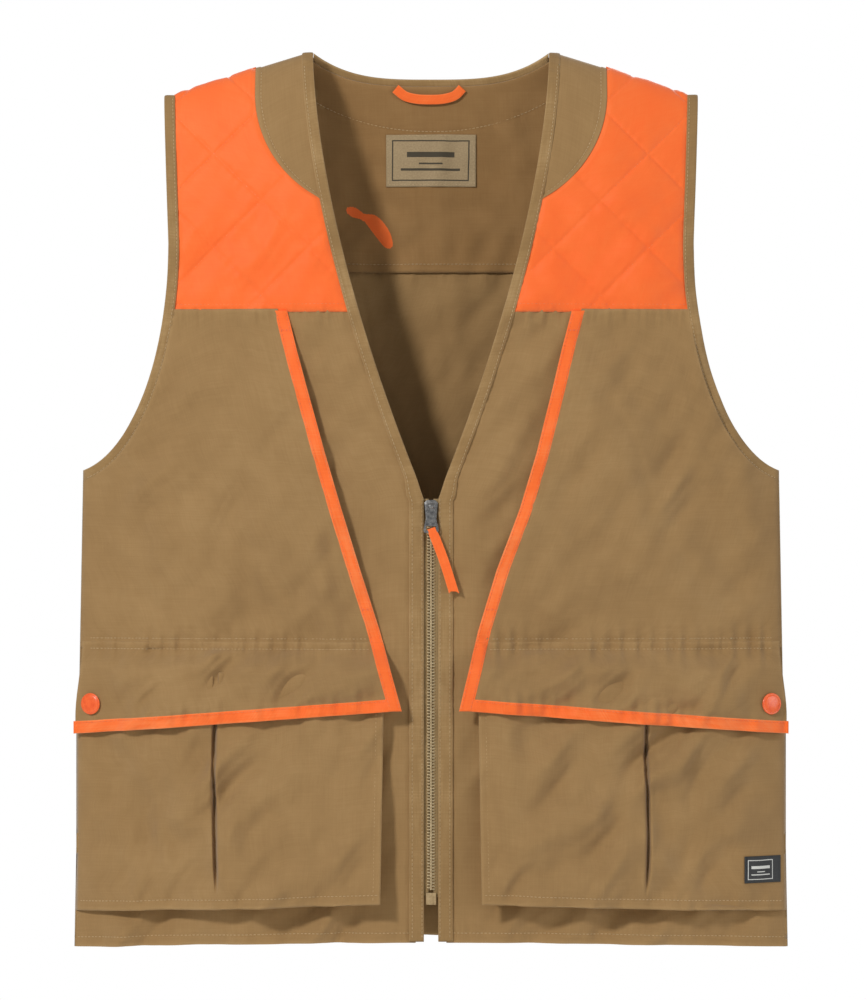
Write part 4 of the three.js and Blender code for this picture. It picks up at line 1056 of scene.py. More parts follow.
# %% Armhole and back neck bindings
def arm_edge(facing, side):
    """The armhole's edge from the shoulder line down and round to the side seam."""
    turn_at = YOKE_DROP

    def edge(t, w):
        inset = w * ARM_BINDING
        split = 0.55
        top = shoulder_z(SHOULDER_HALF)
        z = climb(1 - t / split, top, -turn_at)
        share = np.clip((t - split) / (1 - split), 0, 1)
        ax, az = underarm(-turn_at, share, inset)
        upper = np.broadcast_to(t < split, np.broadcast(z, inset).shape)
        x = np.where(upper, armhole(z, inset), ax)
        return side * x, np.where(upper, z + 0 * inset, az)

    return edge


for side, wearer in WEARERS.items():
    for facing, word in ((-1, "front"), (1, "back")):
        out = lambda x, z: 2.1 * MM + binding_roll(x, z)
        ring = strip(f"{wearer}_armhole_{word}", arm_edge(facing, side), out, 3.8 * MM, facing,
                     khaki_binding, 220)
        nodes = ([f"{wearer}_armhole_binding_yoke", f"{wearer}_armhole_binding_front"]
                 if facing < 0 else [f"{wearer}_armhole_binding_back"])
        t = np.linspace(0.02, 0.985, 400)
        row = arm_edge(facing, side)(t, 0.8)
        surface = lambda x, z, f=facing: on_body(x, z, 4.0 * MM + binding_roll(x, z), f)
        sewn = stitches(f"{wearer}_armhole_{word}_stitches", [row], surface, khaki_thread)
        if facing < 0:
            twisting(ring, nodes)
            twisting(sewn)
        else:
            on_root(ring, nodes)
            on_root(sewn)


def neck_edge(t, w):
    x = mix(-NECK_HALF, NECK_HALF, t) + 0 * w
    return x, neck_z(x) - 1 * MM - w * 7 * MM + 0 * x


neck_ring = strip("back_neck_roll", neck_edge, 0.4 * MM, 3.4 * MM, 1, khaki_binding, 120)
on_root(neck_ring, ["back_neck_binding"])
print("bindings", len([o for o in made if "armhole" in o.name]))

# %% [markdown]
# ## The back
# Behind the neck a plain band joins the two patches. Under it the orange quilting runs
# from shoulder to shoulder, and a plain canvas panel hangs from it to the hem. The
# inside of the back shows in the neck opening, so its lining is a piece of its own.

# %% Back pieces


def band_low(x):
    """Lower edge of the neck band: a deep bowl that ends on the shoulder line."""
    rise = np.minimum(1, np.abs(x / PATCH_OUTER) ** 3)
    return mix(-BAND_DROP, float(shoulder_z(PATCH_OUTER)), rise)


def neck_line(x, drop=5 * MM):
    """Under the neck binding, then up to the shoulder line beside it."""
    out = np.abs(x)
    beside = np.clip((out - NECK_HALF) / (6 * MM), 0, 1)
    return mix(neck_z(out) - drop, shoulder_z(out), beside)


def across_back(top, bottom, half, out, rows, columns):
    """A plan across the whole back between a top edge and a bottom height."""
    v, u = grid(rows, columns)
    share = 0.25 * (1 - v) + 0.75 * (1 - v) ** 2
    z = np.full(v.shape, -0.1)
    for _ in range(4):
        x = (2 * u - 1) * half(z)
        high = np.minimum(top(x), shoulder_z(x))
        low = bottom(x) if callable(bottom) else bottom
        z = high - share * (high - low)
    return x, z


def band_half(z):
    return np.full(np.shape(z), PATCH_OUTER - 1 * MM)


def back_layer(top, bottom, half, out, rows, columns, extra=None):
    level = out(0, 0) if callable(out) else out
    x, z = across_back(top, bottom, half, level, rows, columns)
    height = out(x, z) if callable(out) else out
    if extra is not None:
        height = height + extra(x, z)
    return points(x, z, height, 1)


band_top = lambda x: neck_line(x)
band_outer = back_layer(band_top, lambda x: band_low(x) - 2 * MM, band_half, 1.8 * MM, 40, 150)
band_inner = back_layer(band_top, lambda x: band_low(x) - 2 * MM, band_half, 0.4 * MM, 40, 150)
neck_band = shell("neck_band", band_outer, band_inner, khaki)
on_root(neck_band, ["back_neck_band"])


def back_rim(x, z):
    above = np.where(np.abs(x) < PATCH_OUTER, band_low(x) - z, 1.0)
    return np.clip(np.minimum(np.minimum(above, z + BACK_YOKE_DROP),
                              armhole(z, ARM_BINDING) - np.abs(x)), 0, 1)


def back_quilt_out(x, z):
    return quilt(x, z, back_rim(x, z), 37) + puckers(x, z, 6, -BACK_YOKE_DROP, 0.3 * MM, 7 * MM)


def quilt_top(x):
    return np.where(np.abs(x) < PATCH_OUTER, band_low(x), shoulder_z(x))


arm_half = lambda z: armhole(z, ARM_BINDING - 1 * MM)
x, z = across_back(quilt_top, -BACK_YOKE_DROP, arm_half, PAD, 110, 240)
outer = points(x, z, back_quilt_out(x, z), 1)
x, z = across_back(quilt_top, -BACK_YOKE_DROP, arm_half, 0.2 * MM, 110, 240)
back_quilt = shell("back_quilt", outer, points(x, z, 0.2 * MM, 1), orange_quilt)
on_root(back_quilt, ["back_yoke"])

lines = []
for side in (-1, 1):
    for sign in (1, -1):
        for k in range(-3, 4):
            run = np.linspace(-0.25, 0.25, 1400)
            px = QUILT_CROSS[0] + run
            pz = QUILT_CROSS[1] - sign * (run - k * QUILT_STEP)
            inside = (px > 0) & (px < arm_half(pz) - 1 * MM) & (pz > -BACK_YOKE_DROP + 1 * MM)
            inside &= pz < quilt_top(px) - 5 * MM
            if inside.sum() > 30:
                lines.append((side * px[inside], pz[inside]))
quilt_back_y = lambda x, z: on_body(x, z, back_quilt_out(x, z), 1)
sewn = stitches("back_quilt_stitches", lines, quilt_back_y, orange_thread, thick=0.4 * MM)
on_root(sewn)
print("back quilt lines", len(lines))


# %% Back panel
def back_panel_out(x, z):
    seam = puckers(x, z, 9, -BACK_YOKE_DROP, 0.5 * MM, 9 * MM)
    hem = puckers(x, z, 10, hem_z(x) + 8 * MM, 0.28 * MM, 7 * MM, 0.012)
    return seam + hem - 0.3 * MM * bump(z - hem_z(x) - 8 * MM, 1.1 * MM)


def back_plan(rows, columns):
    """Rows from the hem to the yoke seam; the ends follow side seam and armhole."""
    v, u = grid(rows, columns)
    share = 2 * u - 1
    top, low, inset = -BACK_YOKE_DROP + 3 * MM, float(hem_z(HEM_HALF)), ARM_BINDING - 1.5 * MM
    reach, side_z = side_edge(v, top, low, inset)
    x = share * reach
    level = mix(hem_z(x), -BACK_YOKE_DROP + 3 * MM, v)
    return x, mix(level, side_z, share**2)


x, z = back_plan(230, 220)
outer = points(x, z, CLOTH + back_panel_out(x, z), 1)
inner = points(x * 0.998, z, back_panel_out(x, z), 1)
back_cloth = shell("back_cloth", outer, inner, khaki)
on_root(back_cloth, ["back_panel"])

hem_x = np.linspace(-HEM_HALF + 3 * MM, HEM_HALF - 3 * MM, 500)
back_y = lambda x, z: on_body(x, z, CLOTH + back_panel_out(x, z), 1)
sewn = stitches("back_hem_stitches", [(hem_x, hem_z(hem_x) + 8 * MM)], back_y, khaki_thread)
on_root(sewn)


# %% Back lining, seen in the neck opening
def lining_out(x, z):
    """Diagonal slack folds that die away at the neck and at the yoke's lower edge, and a stitched
    line under the neck where the facing ends."""
    folds = 2.8 * creases(x, z, 83, 0.085, 0.75, 0.9) + 0.5 * waves(x, z, 84, 0.028, 0.6, 2.4)
    fade = ease((neck_line(x) - z) / 0.03) * ease((z + BACK_YOKE_DROP) / 0.02)
    row = 0.35 * bump(z - facing_row(x), 1.3 * MM)
    gather = 0.25 * waves(x, z, 85, 0.009, 0.0, 0.5) * bump(z - facing_row(x), 6 * MM)
    return (folds * fade - row + gather) * MM


def facing_row(x):
    """A stitched row under the neck that curves up towards the shoulders."""
    return -66 * MM + 26 * MM * np.minimum(1, np.abs(x) / (100 * MM)) ** 2.2


def lining_layer(out):
    top = lambda x: neck_line(x) - 1 * MM
    x, z = across_back(top, -BACK_YOKE_DROP - 3 * MM, arm_half, out, 96, 190)
    return points(x, z, out - lining_out(x, z), 1)


inside = shell("back_lining", lining_layer(-2.0 * MM), lining_layer(-3.2 * MM), lining)
on_root(inside, ["back_yoke_lining"])
size_of(lining_layer(-3.2 * MM))

lining_y = lambda x, z: on_body(x, z, -3.3 * MM - lining_out(x, z), 1)
px = np.linspace(-0.115, 0.115, 300)
seam_x = np.linspace(-0.19, 0.19, 420)
rows = [(px, facing_row(px)), (seam_x, np.full(420, -BACK_YOKE_DROP + 4 * MM))]
sewn = stitches("lining_stitches", rows, lining_y, khaki_thread, lift=-0.1 * MM)
on_root(sewn)
print("lining", [round(s, 3) for s in size_of(lining_layer(-3.2 * MM))])

# %% [markdown]
# ## Hand pockets
# A second panel lies over each front. Its slanted edge is bound with orange tape and left
# open, so it stands away a little there; its lower edge is gathered by two rows of
# stitching and carries the flap.

# %% Overlay panels
OVERLAY_BASE, GAPE = 2.0 * MM, 9 * MM
ROW_UP, ROW_LOW = -486.7 * MM, -495.3 * MM


def overlay_out(x, z, side):
    """Stand-off of the overlay: most in the middle of its slanted mouth."""
    out = np.abs(x)
    down = ease((-z - YOKE_DROP) / (70 * MM))
    up = 1 - ease((-z - FLAP_SEAM + 90 * MM) / (90 * MM))
    reach = side_half(z) - slant(z, side)
    across = np.clip((out - slant(z, side)) / reach, 0, 1)
    return OVERLAY_BASE + GAPE * down * up * (1 - across) ** 0.8


def gathers(x, z):
    """Elastic gathers about two stitched rows, with a shallow groove along each row."""
    both = (ROW_UP + ROW_LOW) / 2
    ripple = puckers(x, z, 14, both, 1.3 * MM, 13 * MM, 0.0105)
    small = puckers(x, z, 15, both, 0.5 * MM, 9 * MM, 0.006)
    groove = 0.45 * MM * (bump(z - ROW_UP, 1.3 * MM) + bump(z - ROW_LOW, 1.3 * MM))
    inside = ease((side_half(z) - 6 * MM - np.abs(x)) / (12 * MM))
    return (ripple + small) * inside - groove


def overlay_shape(x, z, side):
    top = puckers(x, z, 13, FRONT_TOP, 0.45 * MM, 10 * MM)
    return overlay_out(x, z, side) + gathers(x, z) + top


def overlay_side_edge(v):
    share = 0.45
    inset = ARM_BINDING - 1.5 * MM
    above = (1 - v) / (1 - share)
    ax, az = underarm(FRONT_TOP + 3 * MM, np.minimum(above, 1), inset)
    _, corner = underarm(FRONT_TOP + 3 * MM, 1, inset)
    z = mix(-FLAP_SEAM - 4 * MM, corner, v / share)
    return np.where(above < 1, ax, side_half(z)), np.where(above < 1, az, z)


for side, wearer in WEARERS.items():
    def mouth(v, side=side):
        z = mix(-FLAP_SEAM - 4 * MM, FRONT_TOP + 3 * MM, v)
        return slant(z, side, TAPE_WIDTH / 2 - 3 * MM), z

    x, z = ruled(mouth, overlay_side_edge, 150, 110)
    low = overlay_shape(side * x, z, side)
    outer = points(side * x, z, low + CLOTH, -1)
    overlay = shell(f"{wearer}_hand_pocket", outer, points(side * x * 0.998, z, low, -1), khaki)
    twisting(overlay, [f"{wearer}_hand_pocket_panel"])

    def tape_edge(t, w, side=side):
        z = mix(FRONT_TOP + 1.5 * MM, -FLAP_SEAM - 2 * MM, t) + 0 * w
        return side * slant(z, side, (w - 0.5) * TAPE_WIDTH), z

    def tape_out(x, z, side=side):
        wave = 0.25 * MM * waves(x, z, 95, 0.022, 1.3, 0.8)
        return overlay_shape(x, z, side) + 0.7 * MM + wave

    tape = strip(f"{wearer}_slant_tape", tape_edge, tape_out, 2.3 * MM, -1, orange_tape, 170)
    twisting(tape, [f"{wearer}_hand_pocket_tape"])

    tape_y = lambda x, z, s=side: on_body(x, z, 1.95 * MM + overlay_shape(x, z, s)
                                          + 0.25 * MM * waves(x, z, 95, 0.022, 1.3, 0.8), -1)
    rz = np.linspace(FRONT_TOP - 1 * MM, -FLAP_SEAM, 300)
    rows = [(side * slant(rz, side, off), rz) for off in (-3.6 * MM, 3.6 * MM)]
    for tack in (-234.5 * MM, -463 * MM):
        for k in range(2):
            bar = np.linspace(-4.2, 4.2, 30) * MM
            level = np.full(30, tack + 0.9 * MM * k)
            rows.append((side * slant(level, side, 0) + bar, level))
    sewn = stitches(f"{wearer}_tape_stitches", rows, tape_y, orange_thread, thick=0.4 * MM)
    twisting(sewn)

    gathered = np.linspace(float(slant(ROW_UP, side, TAPE_WIDTH / 2)) + 2 * MM, 0.281, 420)
    over_y = lambda x, z, s=side: on_body(x, z, CLOTH + overlay_shape(x, z, s), -1)
    sewn = stitches(f"{wearer}_gather_stitches_up", [(side * gathered, np.full(420, ROW_UP))],
                    over_y, khaki_thread)
    on_front(sewn, side)
print("hand pocket panel", [round(s, 3) for s in size_of(outer)])

# %% [markdown]
# ## Bellows pockets
# Each cargo pocket is a face with an inverted pleat, held off the front by a folded
# gusset down its inner side and along its bottom. The pleat could be three separate
# plies; a deep narrow fold in one surface looks the same and can't come apart.

# %% Pocket faces
BELLOWS, MOUTH_DEPTH, FLAP_END = 20 * MM, 9 * MM, 293.5 * MM


def pocket_inner(z):
    share = (-z - POCKET_MOUTH) / (POCKET_INNER - POCKET_MOUTH)
    return POCKET_HALF + POCKET_LEAN * share


def pocket_bottom(x):
    share = (x - POCKET_HALF) / (HEM_HALF - POCKET_HALF)
    return -mix(POCKET_INNER, POCKET_SIDE, share)


def pocket_out(x, z):
    """Bellows depth: full beside the zip and at the bottom, none at the side seam."""
    share = np.clip((x - POCKET_HALF) / (side_half(z) - POCKET_HALF), 0, 1)
    down = ease((-z - FLAP_SIDE) / (POCKET_INNER - FLAP_SIDE))
    return OVERLAY_BASE + mix(MOUTH_DEPTH, BELLOWS, down) * (1 - share**3)


def pleat(x, z, side):
    """The pleat's fold: a slit with rolled lips that closes just above the bottom."""
    wander = 0.9 * MM * np.sin(z * 38 + side) - 0.8 * MM * ease((-z - 0.66) / 0.04)
    off = np.abs(x) - PLEAT_X - wander
    open_share = 1 - ease((-z - 0.672) / 0.026)
    slit = -7.5 * MM * open_share * bump(off, 1.0 * MM + 0.5 * MM * open_share)
    lip = 1.1 * MM * open_share * bump(off - side * 3.2 * MM, 3.6 * MM)
    return slit + lip + 0.5 * MM * open_share * bump(off + side * 4 * MM, 4 * MM)


def pocket_shape(x, z, side):
    """Face height: bellows, pleat, slack folds, and the stitched margins."""
    out = np.abs(x)
    from_edge = out - pocket_inner(z)
    from_low = z - pocket_bottom(out)
    folds = 3.4 * creases(x, z, 101, 0.085, 0.35, 0.9) + 1.4 * creases(x, z, 102, 0.036, -0.7, 1.2)
    fade = ease(from_edge / 0.025) * ease((0.285 - out) / 0.05)
    snap = 1 - bump(np.hypot(out - SNAP_X, z - SNAP_Z), 0.025)
    hem = puckers(x, z, 103, pocket_bottom(out) + 8 * MM, 0.4 * MM, 7 * MM, 0.011)
    rows = 0.4 * MM * (bump(from_edge - 6 * MM, 1.2 * MM) + bump(from_low - 8 * MM, 1.2 * MM))
    curl = 0.8 * MM * bump(from_low, 5 * MM) + 0.6 * MM * bump(from_edge, 4 * MM)
    return (pocket_out(out, z) + pleat(x, z, side) * snap + folds * MM * fade * snap
            + hem - rows + curl)


def pocket_y(side, extra=0.0):
    return lambda x, z: on_body(x, z, CLOTH + extra + pocket_shape(x, z, side), -1)


even = np.linspace(0, 1, 105)
pleat_share = (PLEAT_X - POCKET_HALF) / (FLAP_END - POCKET_HALF)
near_pleat = pleat_share + np.linspace(-6, 6, 43) * MM / (FLAP_END - POCKET_HALF)
columns = np.unique(np.concatenate([even[np.abs(even - pleat_share) > 0.025], near_pleat]))

for side, wearer in WEARERS.items():
    v, u = np.meshgrid(np.linspace(0, 1, 100), columns, indexing="ij")
    x = mix(POCKET_HALF, FLAP_END, u)
    z = mix(pocket_bottom(x), -POCKET_MOUTH, v)
    x = x - 5 * MM * ease((z + 0.562) / 0.05) * u**4
    x = x + (1 - u) * (pocket_inner(z) - POCKET_HALF)
    low = pocket_shape(side * x, z, side)
    outer = points(side * x, z, low + CLOTH, -1)
    face = shell(f"{wearer}_pocket_face", outer, points(side * x * 0.999, z, low, -1), khaki)
    on_front(face, side, [f"{wearer}_cargo_pocket"])

    rz = np.linspace(-POCKET_INNER + 3 * MM, -POCKET_MOUTH, 200)
    rx = np.linspace(POCKET_HALF + 5 * MM, FLAP_END - 4 * MM, 340)
    rows = [(side * (pocket_inner(rz) + 6 * MM), rz), (side * rx, pocket_bottom(rx) + 8 * MM)]
    sewn = stitches(f"{wearer}_pocket_stitches", rows, pocket_y(side), khaki_thread)
    on_front(sewn, side)


# %% Gussets
def gusset_path():
    """x and z along the pocket's inner edge and bottom, and the way inwards."""
    z = np.linspace(-POCKET_MOUTH, -POCKET_INNER + 2 * MM, 90)
    x = np.linspace(POCKET_HALF + POCKET_LEAN + 2 * MM, FLAP_END - 1 * MM, 130)
    px = np.concatenate([pocket_inner(z), x])
    pz = np.concatenate([z, pocket_bottom(x)])
    tangent = np.stack([np.gradient(px), np.gradient(pz)], -1)
    tangent /= np.linalg.norm(tangent, axis=1, keepdims=True)
    return px, pz, -tangent[:, 1], tangent[:, 0]


def gusset_grid(side, inset):
    """Across the gusset the cloth folds inwards once, in a sine; the first column is at
    the face and the last at the front panel."""
    px, pz, nx, nz = gusset_path()
    c = np.linspace(0, 1, 15)[None, :]
    reach = pocket_out(px, pz)[:, None]
    uneven = 1 + 0.3 * waves(px[:, None], pz[:, None], 99, 0.04)
    fold = 0.28 * reach * np.sin(math.pi * c) * uneven
    x = px[:, None] + nx[:, None] * (fold + inset)
    z = pz[:, None] + nz[:, None] * (fold + inset)
    out = mix(reach + CLOTH / 2, CLOTH * np.ones_like(reach), c)
    return points(side * x, z, out, -1)


for side, wearer in WEARERS.items():
    outer = gusset_grid(side, 0.4 * MM)
    gusset = shell(f"{wearer}_gusset", outer, gusset_grid(side, 1.3 * MM), khaki)
    on_front(gusset, side, [f"{wearer}_pocket_gusset"])
print("gusset", [round(s, 3) for s in size_of(outer)])

# %% [markdown]
# ## Flaps
# The flap hangs from the gathered seam over the pocket's mouth, bound with orange tape
# along its lower edge and inner end, and closes with one snap near the side.

# %% Flap shape
FLAP_TOP, FLAP_RISE = -FLAP_SEAM - GAP, 23 * MM
SNAP_SEAT, FLANGE, SNAP_GAP, STUD_HIGH, ROOF = 0.8 * MM, 0.6 * MM, 0.3 * MM, 1.4 * MM, 0.8 * MM
SOCKET_BASE = SNAP_SEAT + FLANGE + SNAP_GAP
CAVITY = STUD_HIGH + SNAP_GAP
SNAP_STACK = SOCKET_BASE + CAVITY + ROOF + SNAP_SEAT
CAP_BASE = SNAP_STACK + CLOTH + SNAP_SEAT


def snap_face(x):
    return -(form(x, SNAP_Z, FRONT_DEPTH) + GAP + pocket_out(x, SNAP_Z) + CLOTH)


SNAP_TILT = math.atan(float(snap_face(SNAP_X + MM) - snap_face(SNAP_X - MM)) / (2 * MM))
STAND_OFF = SNAP_STACK / math.cos(SNAP_TILT)


def flap_bottom(x):
    share = (x - SLANT_BOTTOM) / (HEM_HALF - SLANT_BOTTOM)
    return -mix(FLAP_CORNER, FLAP_SIDE, share)


def flap_shape(x, z, side):
    """Flap height: it leaves the front at its seam and rises over the pocket; the lower
    edge puckers where the tape is sewn on."""
    out = np.abs(x)
    share = np.clip((FLAP_TOP - z) / FLAP_RISE, 0, 1)
    covered = pocket_out(np.maximum(out, POCKET_HALF), z) + CLOTH + STAND_OFF
    high = mix(OVERLAY_BASE + 0.3 * MM, covered, ease(share))
    from_low = z - flap_bottom(out)
    hem = puckers(x, z, 111, flap_bottom(out) + TAPE_WIDTH, 0.85 * MM, 11 * MM, 0.012)
    small, slow = creases(x, z, 112, 0.036, -0.9, 0.8), waves(x, z, 113, 0.06, 1.2, 1.0)
    slack = (3.2 * small + 1.8 * slow) * MM
    middle = ease((from_low - 4 * MM) / (12 * MM)) * ease((FLAP_TOP - z) / (10 * MM))
    inner = ease((out - slant(z, side)) / (30 * MM)) * ease((0.285 - out) / (50 * MM))
    snap = 1 - bump(np.hypot(out - SNAP_X, z - SNAP_Z), 0.018)
    edge = 0.9 * MM * waves(x, z, 114, 0.045, 0.0, 0.4) * bump(from_low, 16 * MM)
    return high + gathers(x, z) + (hem + slack * middle * inner + edge) * snap


def flap_y(side, extra):
    return lambda x, z: on_body(x, z, extra + flap_shape(x, z, side), -1, open_side=True)


for side, wearer in WEARERS.items():
    v, u = grid(46, 150)
    z = np.full(v.shape, -0.52)
    for _ in range(6):
        end = FLAP_END - 5.5 * MM * ease((z + 0.552) / 0.06)
        x = mix(slant(z, side, TAPE_WIDTH / 2 - 3 * MM), end, u)
        z = mix(flap_bottom(x) + TAPE_WIDTH - 3 * MM, FLAP_TOP + 2 * MM, v)
    low = flap_shape(side * x, z, side)
    outer = points(side * x, z, low + CLOTH, -1, True)
    flap = shell(f"{wearer}_flap_cloth", outer, points(side * x, z, low, -1, True), khaki)
    on_flap(flap, side, [f"{wearer}_flap"])

    def hem_tape_edge(t, w, side=side):
        x = mix(float(slant(-FLAP_CORNER, side)) + 1 * MM, HEM_HALF, t) + 0 * w
        return side * x, flap_bottom(x) + w * TAPE_WIDTH

    def end_tape_edge(t, w, side=side):
        z = mix(FLAP_TOP + 2 * MM, -FLAP_CORNER, t) + 0 * w
        return side * slant(z, side, (w - 0.5) * TAPE_WIDTH), z

    for word, edge, extra, length in (
        ("hem", hem_tape_edge, 0.6 * MM, 0.262), ("end", end_tape_edge, 0.9 * MM, 0.057)
    ):
        out = lambda x, z, s=side, e=extra: flap_shape(x, z, s) + e
        stations = 190 if word == "hem" else 40
        tape = strip(f"{wearer}_{word}_binding_tape", edge, out, 2.3 * MM, -1, orange_tape,
                     stations, open_side=True)
        on_flap(tape, side, [f"{wearer}_flap_{word}_tape"])

    hx = np.linspace(float(slant(-FLAP_CORNER, side)) + 8 * MM, HEM_HALF - 3 * MM, 300)
    ez = np.linspace(FLAP_TOP, -FLAP_CORNER + 2 * MM, 60)
    rows = [(side * hx, flap_bottom(hx) + TAPE_WIDTH - 1.8 * MM)]
    ends = [(side * slant(ez, side, off), ez) for off in (-3.6 * MM, 3.6 * MM)]
    sewn = stitches(f"{wearer}_flap_tape_stitches", rows, flap_y(side, 1.85 * MM), orange_thread,
                    thick=0.4 * MM)
    on_flap(sewn, side, bend=False)
    sewn = stitches(f"{wearer}_flap_end_stitches", ends, flap_y(side, 2.15 * MM), orange_thread,
                    thick=0.4 * MM)
    on_flap(sewn, side)
    gathered = np.linspace(float(slant(ROW_LOW, side, TAPE_WIDTH / 2)) + 2 * MM, 0.281, 420)
    sewn = stitches(f"{wearer}_gather_stitches_low", [(side * gathered, np.full(420, ROW_LOW))],
                    flap_y(side, CLOTH), khaki_thread)
    on_flap(sewn, side)
print("flap", [round(s, 3) for s in size_of(outer)], "snap tilt", round(math.degrees(SNAP_TILT)))

# %% [markdown]
# ## Snaps
# Each snap is four turned parts: an enamelled cap and a socket on the flap, a stud and its
# post on the pocket. The profiles are turned about an axis that leans with the cloth.

# %% Turned parts
SHANK, STUD_RADIUS, SOCKET_RADIUS, CAP_RADIUS, CAP_DOME = (v * MM for v in (1.8, 3, 6, 8.9, 2.2))
SNAP_Y = float(snap_face(SNAP_X))


def lathe(name, profile, side, material, turns=48):
    """Turns a profile of radius and height about the snap's leaning axis. The height
    points out of the front; every ring is a circle across that axis."""
    r, h = np.array(profile).T
    tilt = side * SNAP_TILT
    way = np.array([math.sin(tilt), -math.cos(tilt), 0])
    flat = np.array([math.cos(tilt), math.sin(tilt), 0])
    angle = 2 * math.pi * (np.arange(turns) + 0.5) / turns
    spin = np.cos(angle)[:, None] * flat + np.sin(angle)[:, None] * np.array([0, 0, 1.0])
    middle = np.array([side * SNAP_X, SNAP_Y, SNAP_Z])
    rings = middle + r[:, None, None] * spin + h[:, None, None] * way
    return tube(name, rings, material)


def softened(corners, radius=0.18 * MM):
    """A profile whose corners are each replaced by two points a radius away."""
    out = [corners[0]]
    for before, at, after in zip(corners, corners[1:], corners[2:]):
        for other in (before, after):
            way = np.subtract(other, at)
            far = np.linalg.norm(way)
            out.append(tuple(np.add(at, way * min(radius / far, 0.4))))
    return out + [corners[-1]]


TIP = 0.02 * MM
dome_angle = np.linspace(0, math.pi / 2, 10)
RIM = 1.25 * MM
dome = [(CAP_RADIUS * 0.84 * math.cos(a), CAP_BASE + RIM + (CAP_DOME - RIM) * math.sin(a))
        for a in dome_angle[:-1]]
cap_profile = [(SHANK, CAP_BASE - 2.4 * MM), (SHANK, CAP_BASE), (CAP_RADIUS - 0.8 * MM, CAP_BASE),
               (CAP_RADIUS, CAP_BASE + 0.6 * MM), (CAP_RADIUS - 0.3 * MM, CAP_BASE + 1.35 * MM),
               (CAP_RADIUS * 0.88, CAP_BASE + 1.45 * MM)]
cap_profile = [(TIP, CAP_BASE - 2.4 * MM)] + softened(cap_profile) + dome
cap_profile += [(TIP, CAP_BASE + CAP_DOME)]
roof = SOCKET_BASE + CAVITY + ROOF
socket_profile = softened([
    (TIP, SOCKET_BASE + CAVITY), (STUD_RADIUS + 0.35 * MM, SOCKET_BASE + CAVITY),
    (STUD_RADIUS + 0.35 * MM, SOCKET_BASE), (SOCKET_RADIUS, SOCKET_BASE), (SOCKET_RADIUS, roof),
    (TIP, roof),
])
stud_top = SNAP_SEAT + FLANGE + STUD_HIGH
stud_profile = softened([
    (TIP, SNAP_SEAT), (SOCKET_RADIUS, SNAP_SEAT), (SOCKET_RADIUS, SNAP_SEAT + FLANGE),
    (STUD_RADIUS * 0.86, SNAP_SEAT + FLANGE), (STUD_RADIUS, stud_top - 0.4 * MM),
    (STUD_RADIUS - 0.3 * MM, stud_top), (TIP, stud_top),
])
post_base = -CLOTH - SNAP_SEAT
post_profile = softened([
    (TIP, post_base - FLANGE), (SOCKET_RADIUS - 1 * MM, post_base - FLANGE),
    (SOCKET_RADIUS - 1 * MM, post_base), (SHANK, post_base), (SHANK, SNAP_SEAT + 0.1 * MM),
    (TIP, SNAP_SEAT + 0.1 * MM),
])

for side, wearer in WEARERS.items():
    for word, profile, material, slot, moving in (
        ("cap", cap_profile, enamel, "snap_enamel", True),
        ("socket", socket_profile, steel, "snap_steel", True),
        ("stud", stud_profile, steel, "snap_steel", False),
        ("post", post_profile, steel, "snap_steel", False),
    ):
        part = lathe(f"{wearer}_{word}_turned", profile, side, material)
        nodes = [f"{wearer}_snap_{word}"]
        if moving:
            on_flap(part, side, nodes, bend=False)
        else:
            on_front(part, side, nodes)
print("cap across", 2 * CAP_RADIUS / MM, "mm")

# %% [markdown]
# ## Labels
# The woven neck label is sewn inside the neck and the moulded badge on the wearer's left
# pocket. Neither carries words: a frame and plain bars stand in for them.

# %% Badge and neck label
BADGE_X, BADGE_Z = 257.5 * MM, -688 * MM
v, u = grid(26, 34)
x, z = BADGE_X + u * BADGE_SIZE[0], BADGE_Z + v * BADGE_SIZE[1]
rounded = 0.5 * MM * bump(np.minimum(np.minimum(u, 1 - u) * BADGE_SIZE[0],
                                     np.minimum(v, 1 - v) * BADGE_SIZE[1]), 1.2 * MM)
low = pocket_shape(x, z, 1) + CLOTH
badge = shell("badge", points(x, z, low + 1.3 * MM - rounded, -1), points(x, z, low + 0.1 * MM, -1),
              badge_black)
on_front(badge, 1, ["pocket_badge"])

v, u = grid(40, 60)
LABEL_Z = -111.8 * MM
x, z = (u - 0.5) * LABEL_SIZE[0], LABEL_Z + v * LABEL_SIZE[1]
label_out = -3.3 * MM - lining_out(x, z) - 0.35 * MM - 0.25 * MM * waves(x, z, 88, 0.02, 0.4, 2.0)
outer = points(x, z, label_out - 0.75 * MM, 1)
label = shell("woven_label", outer, points(x, z, label_out, 1), label_cloth)
on_root(label, ["neck_label"])

edge_in = 1.6 * MM
sx = np.linspace(-LABEL_SIZE[0] / 2 + edge_in, LABEL_SIZE[0] / 2 - edge_in, 120)
sz = np.linspace(LABEL_Z + edge_in, LABEL_Z + LABEL_SIZE[1] - edge_in, 80)
rows = [(sx, np.full(120, h)) for h in (sz[0], sz[-1])]
rows += [(np.full(80, w), sz) for w in (sx[0], sx[-1])]
label_y = lambda x, z: on_body(x, z, -4.4 * MM - lining_out(x, z)
                               - 0.25 * MM * waves(x, z, 88, 0.02, 0.4, 2.0), 1)
sewn = stitches("label_stitches", rows, label_y, khaki_thread, thick=0.3 * MM, lift=0.0)
on_root(sewn)
print("labels", BADGE_SIZE, LABEL_SIZE)

# %% [markdown]
# ## Game bag
# A wide pouch over the back, open along its top, which is bound in orange. It stands off
# the back by its own depth and closes to the back panel at its sides and bottom.

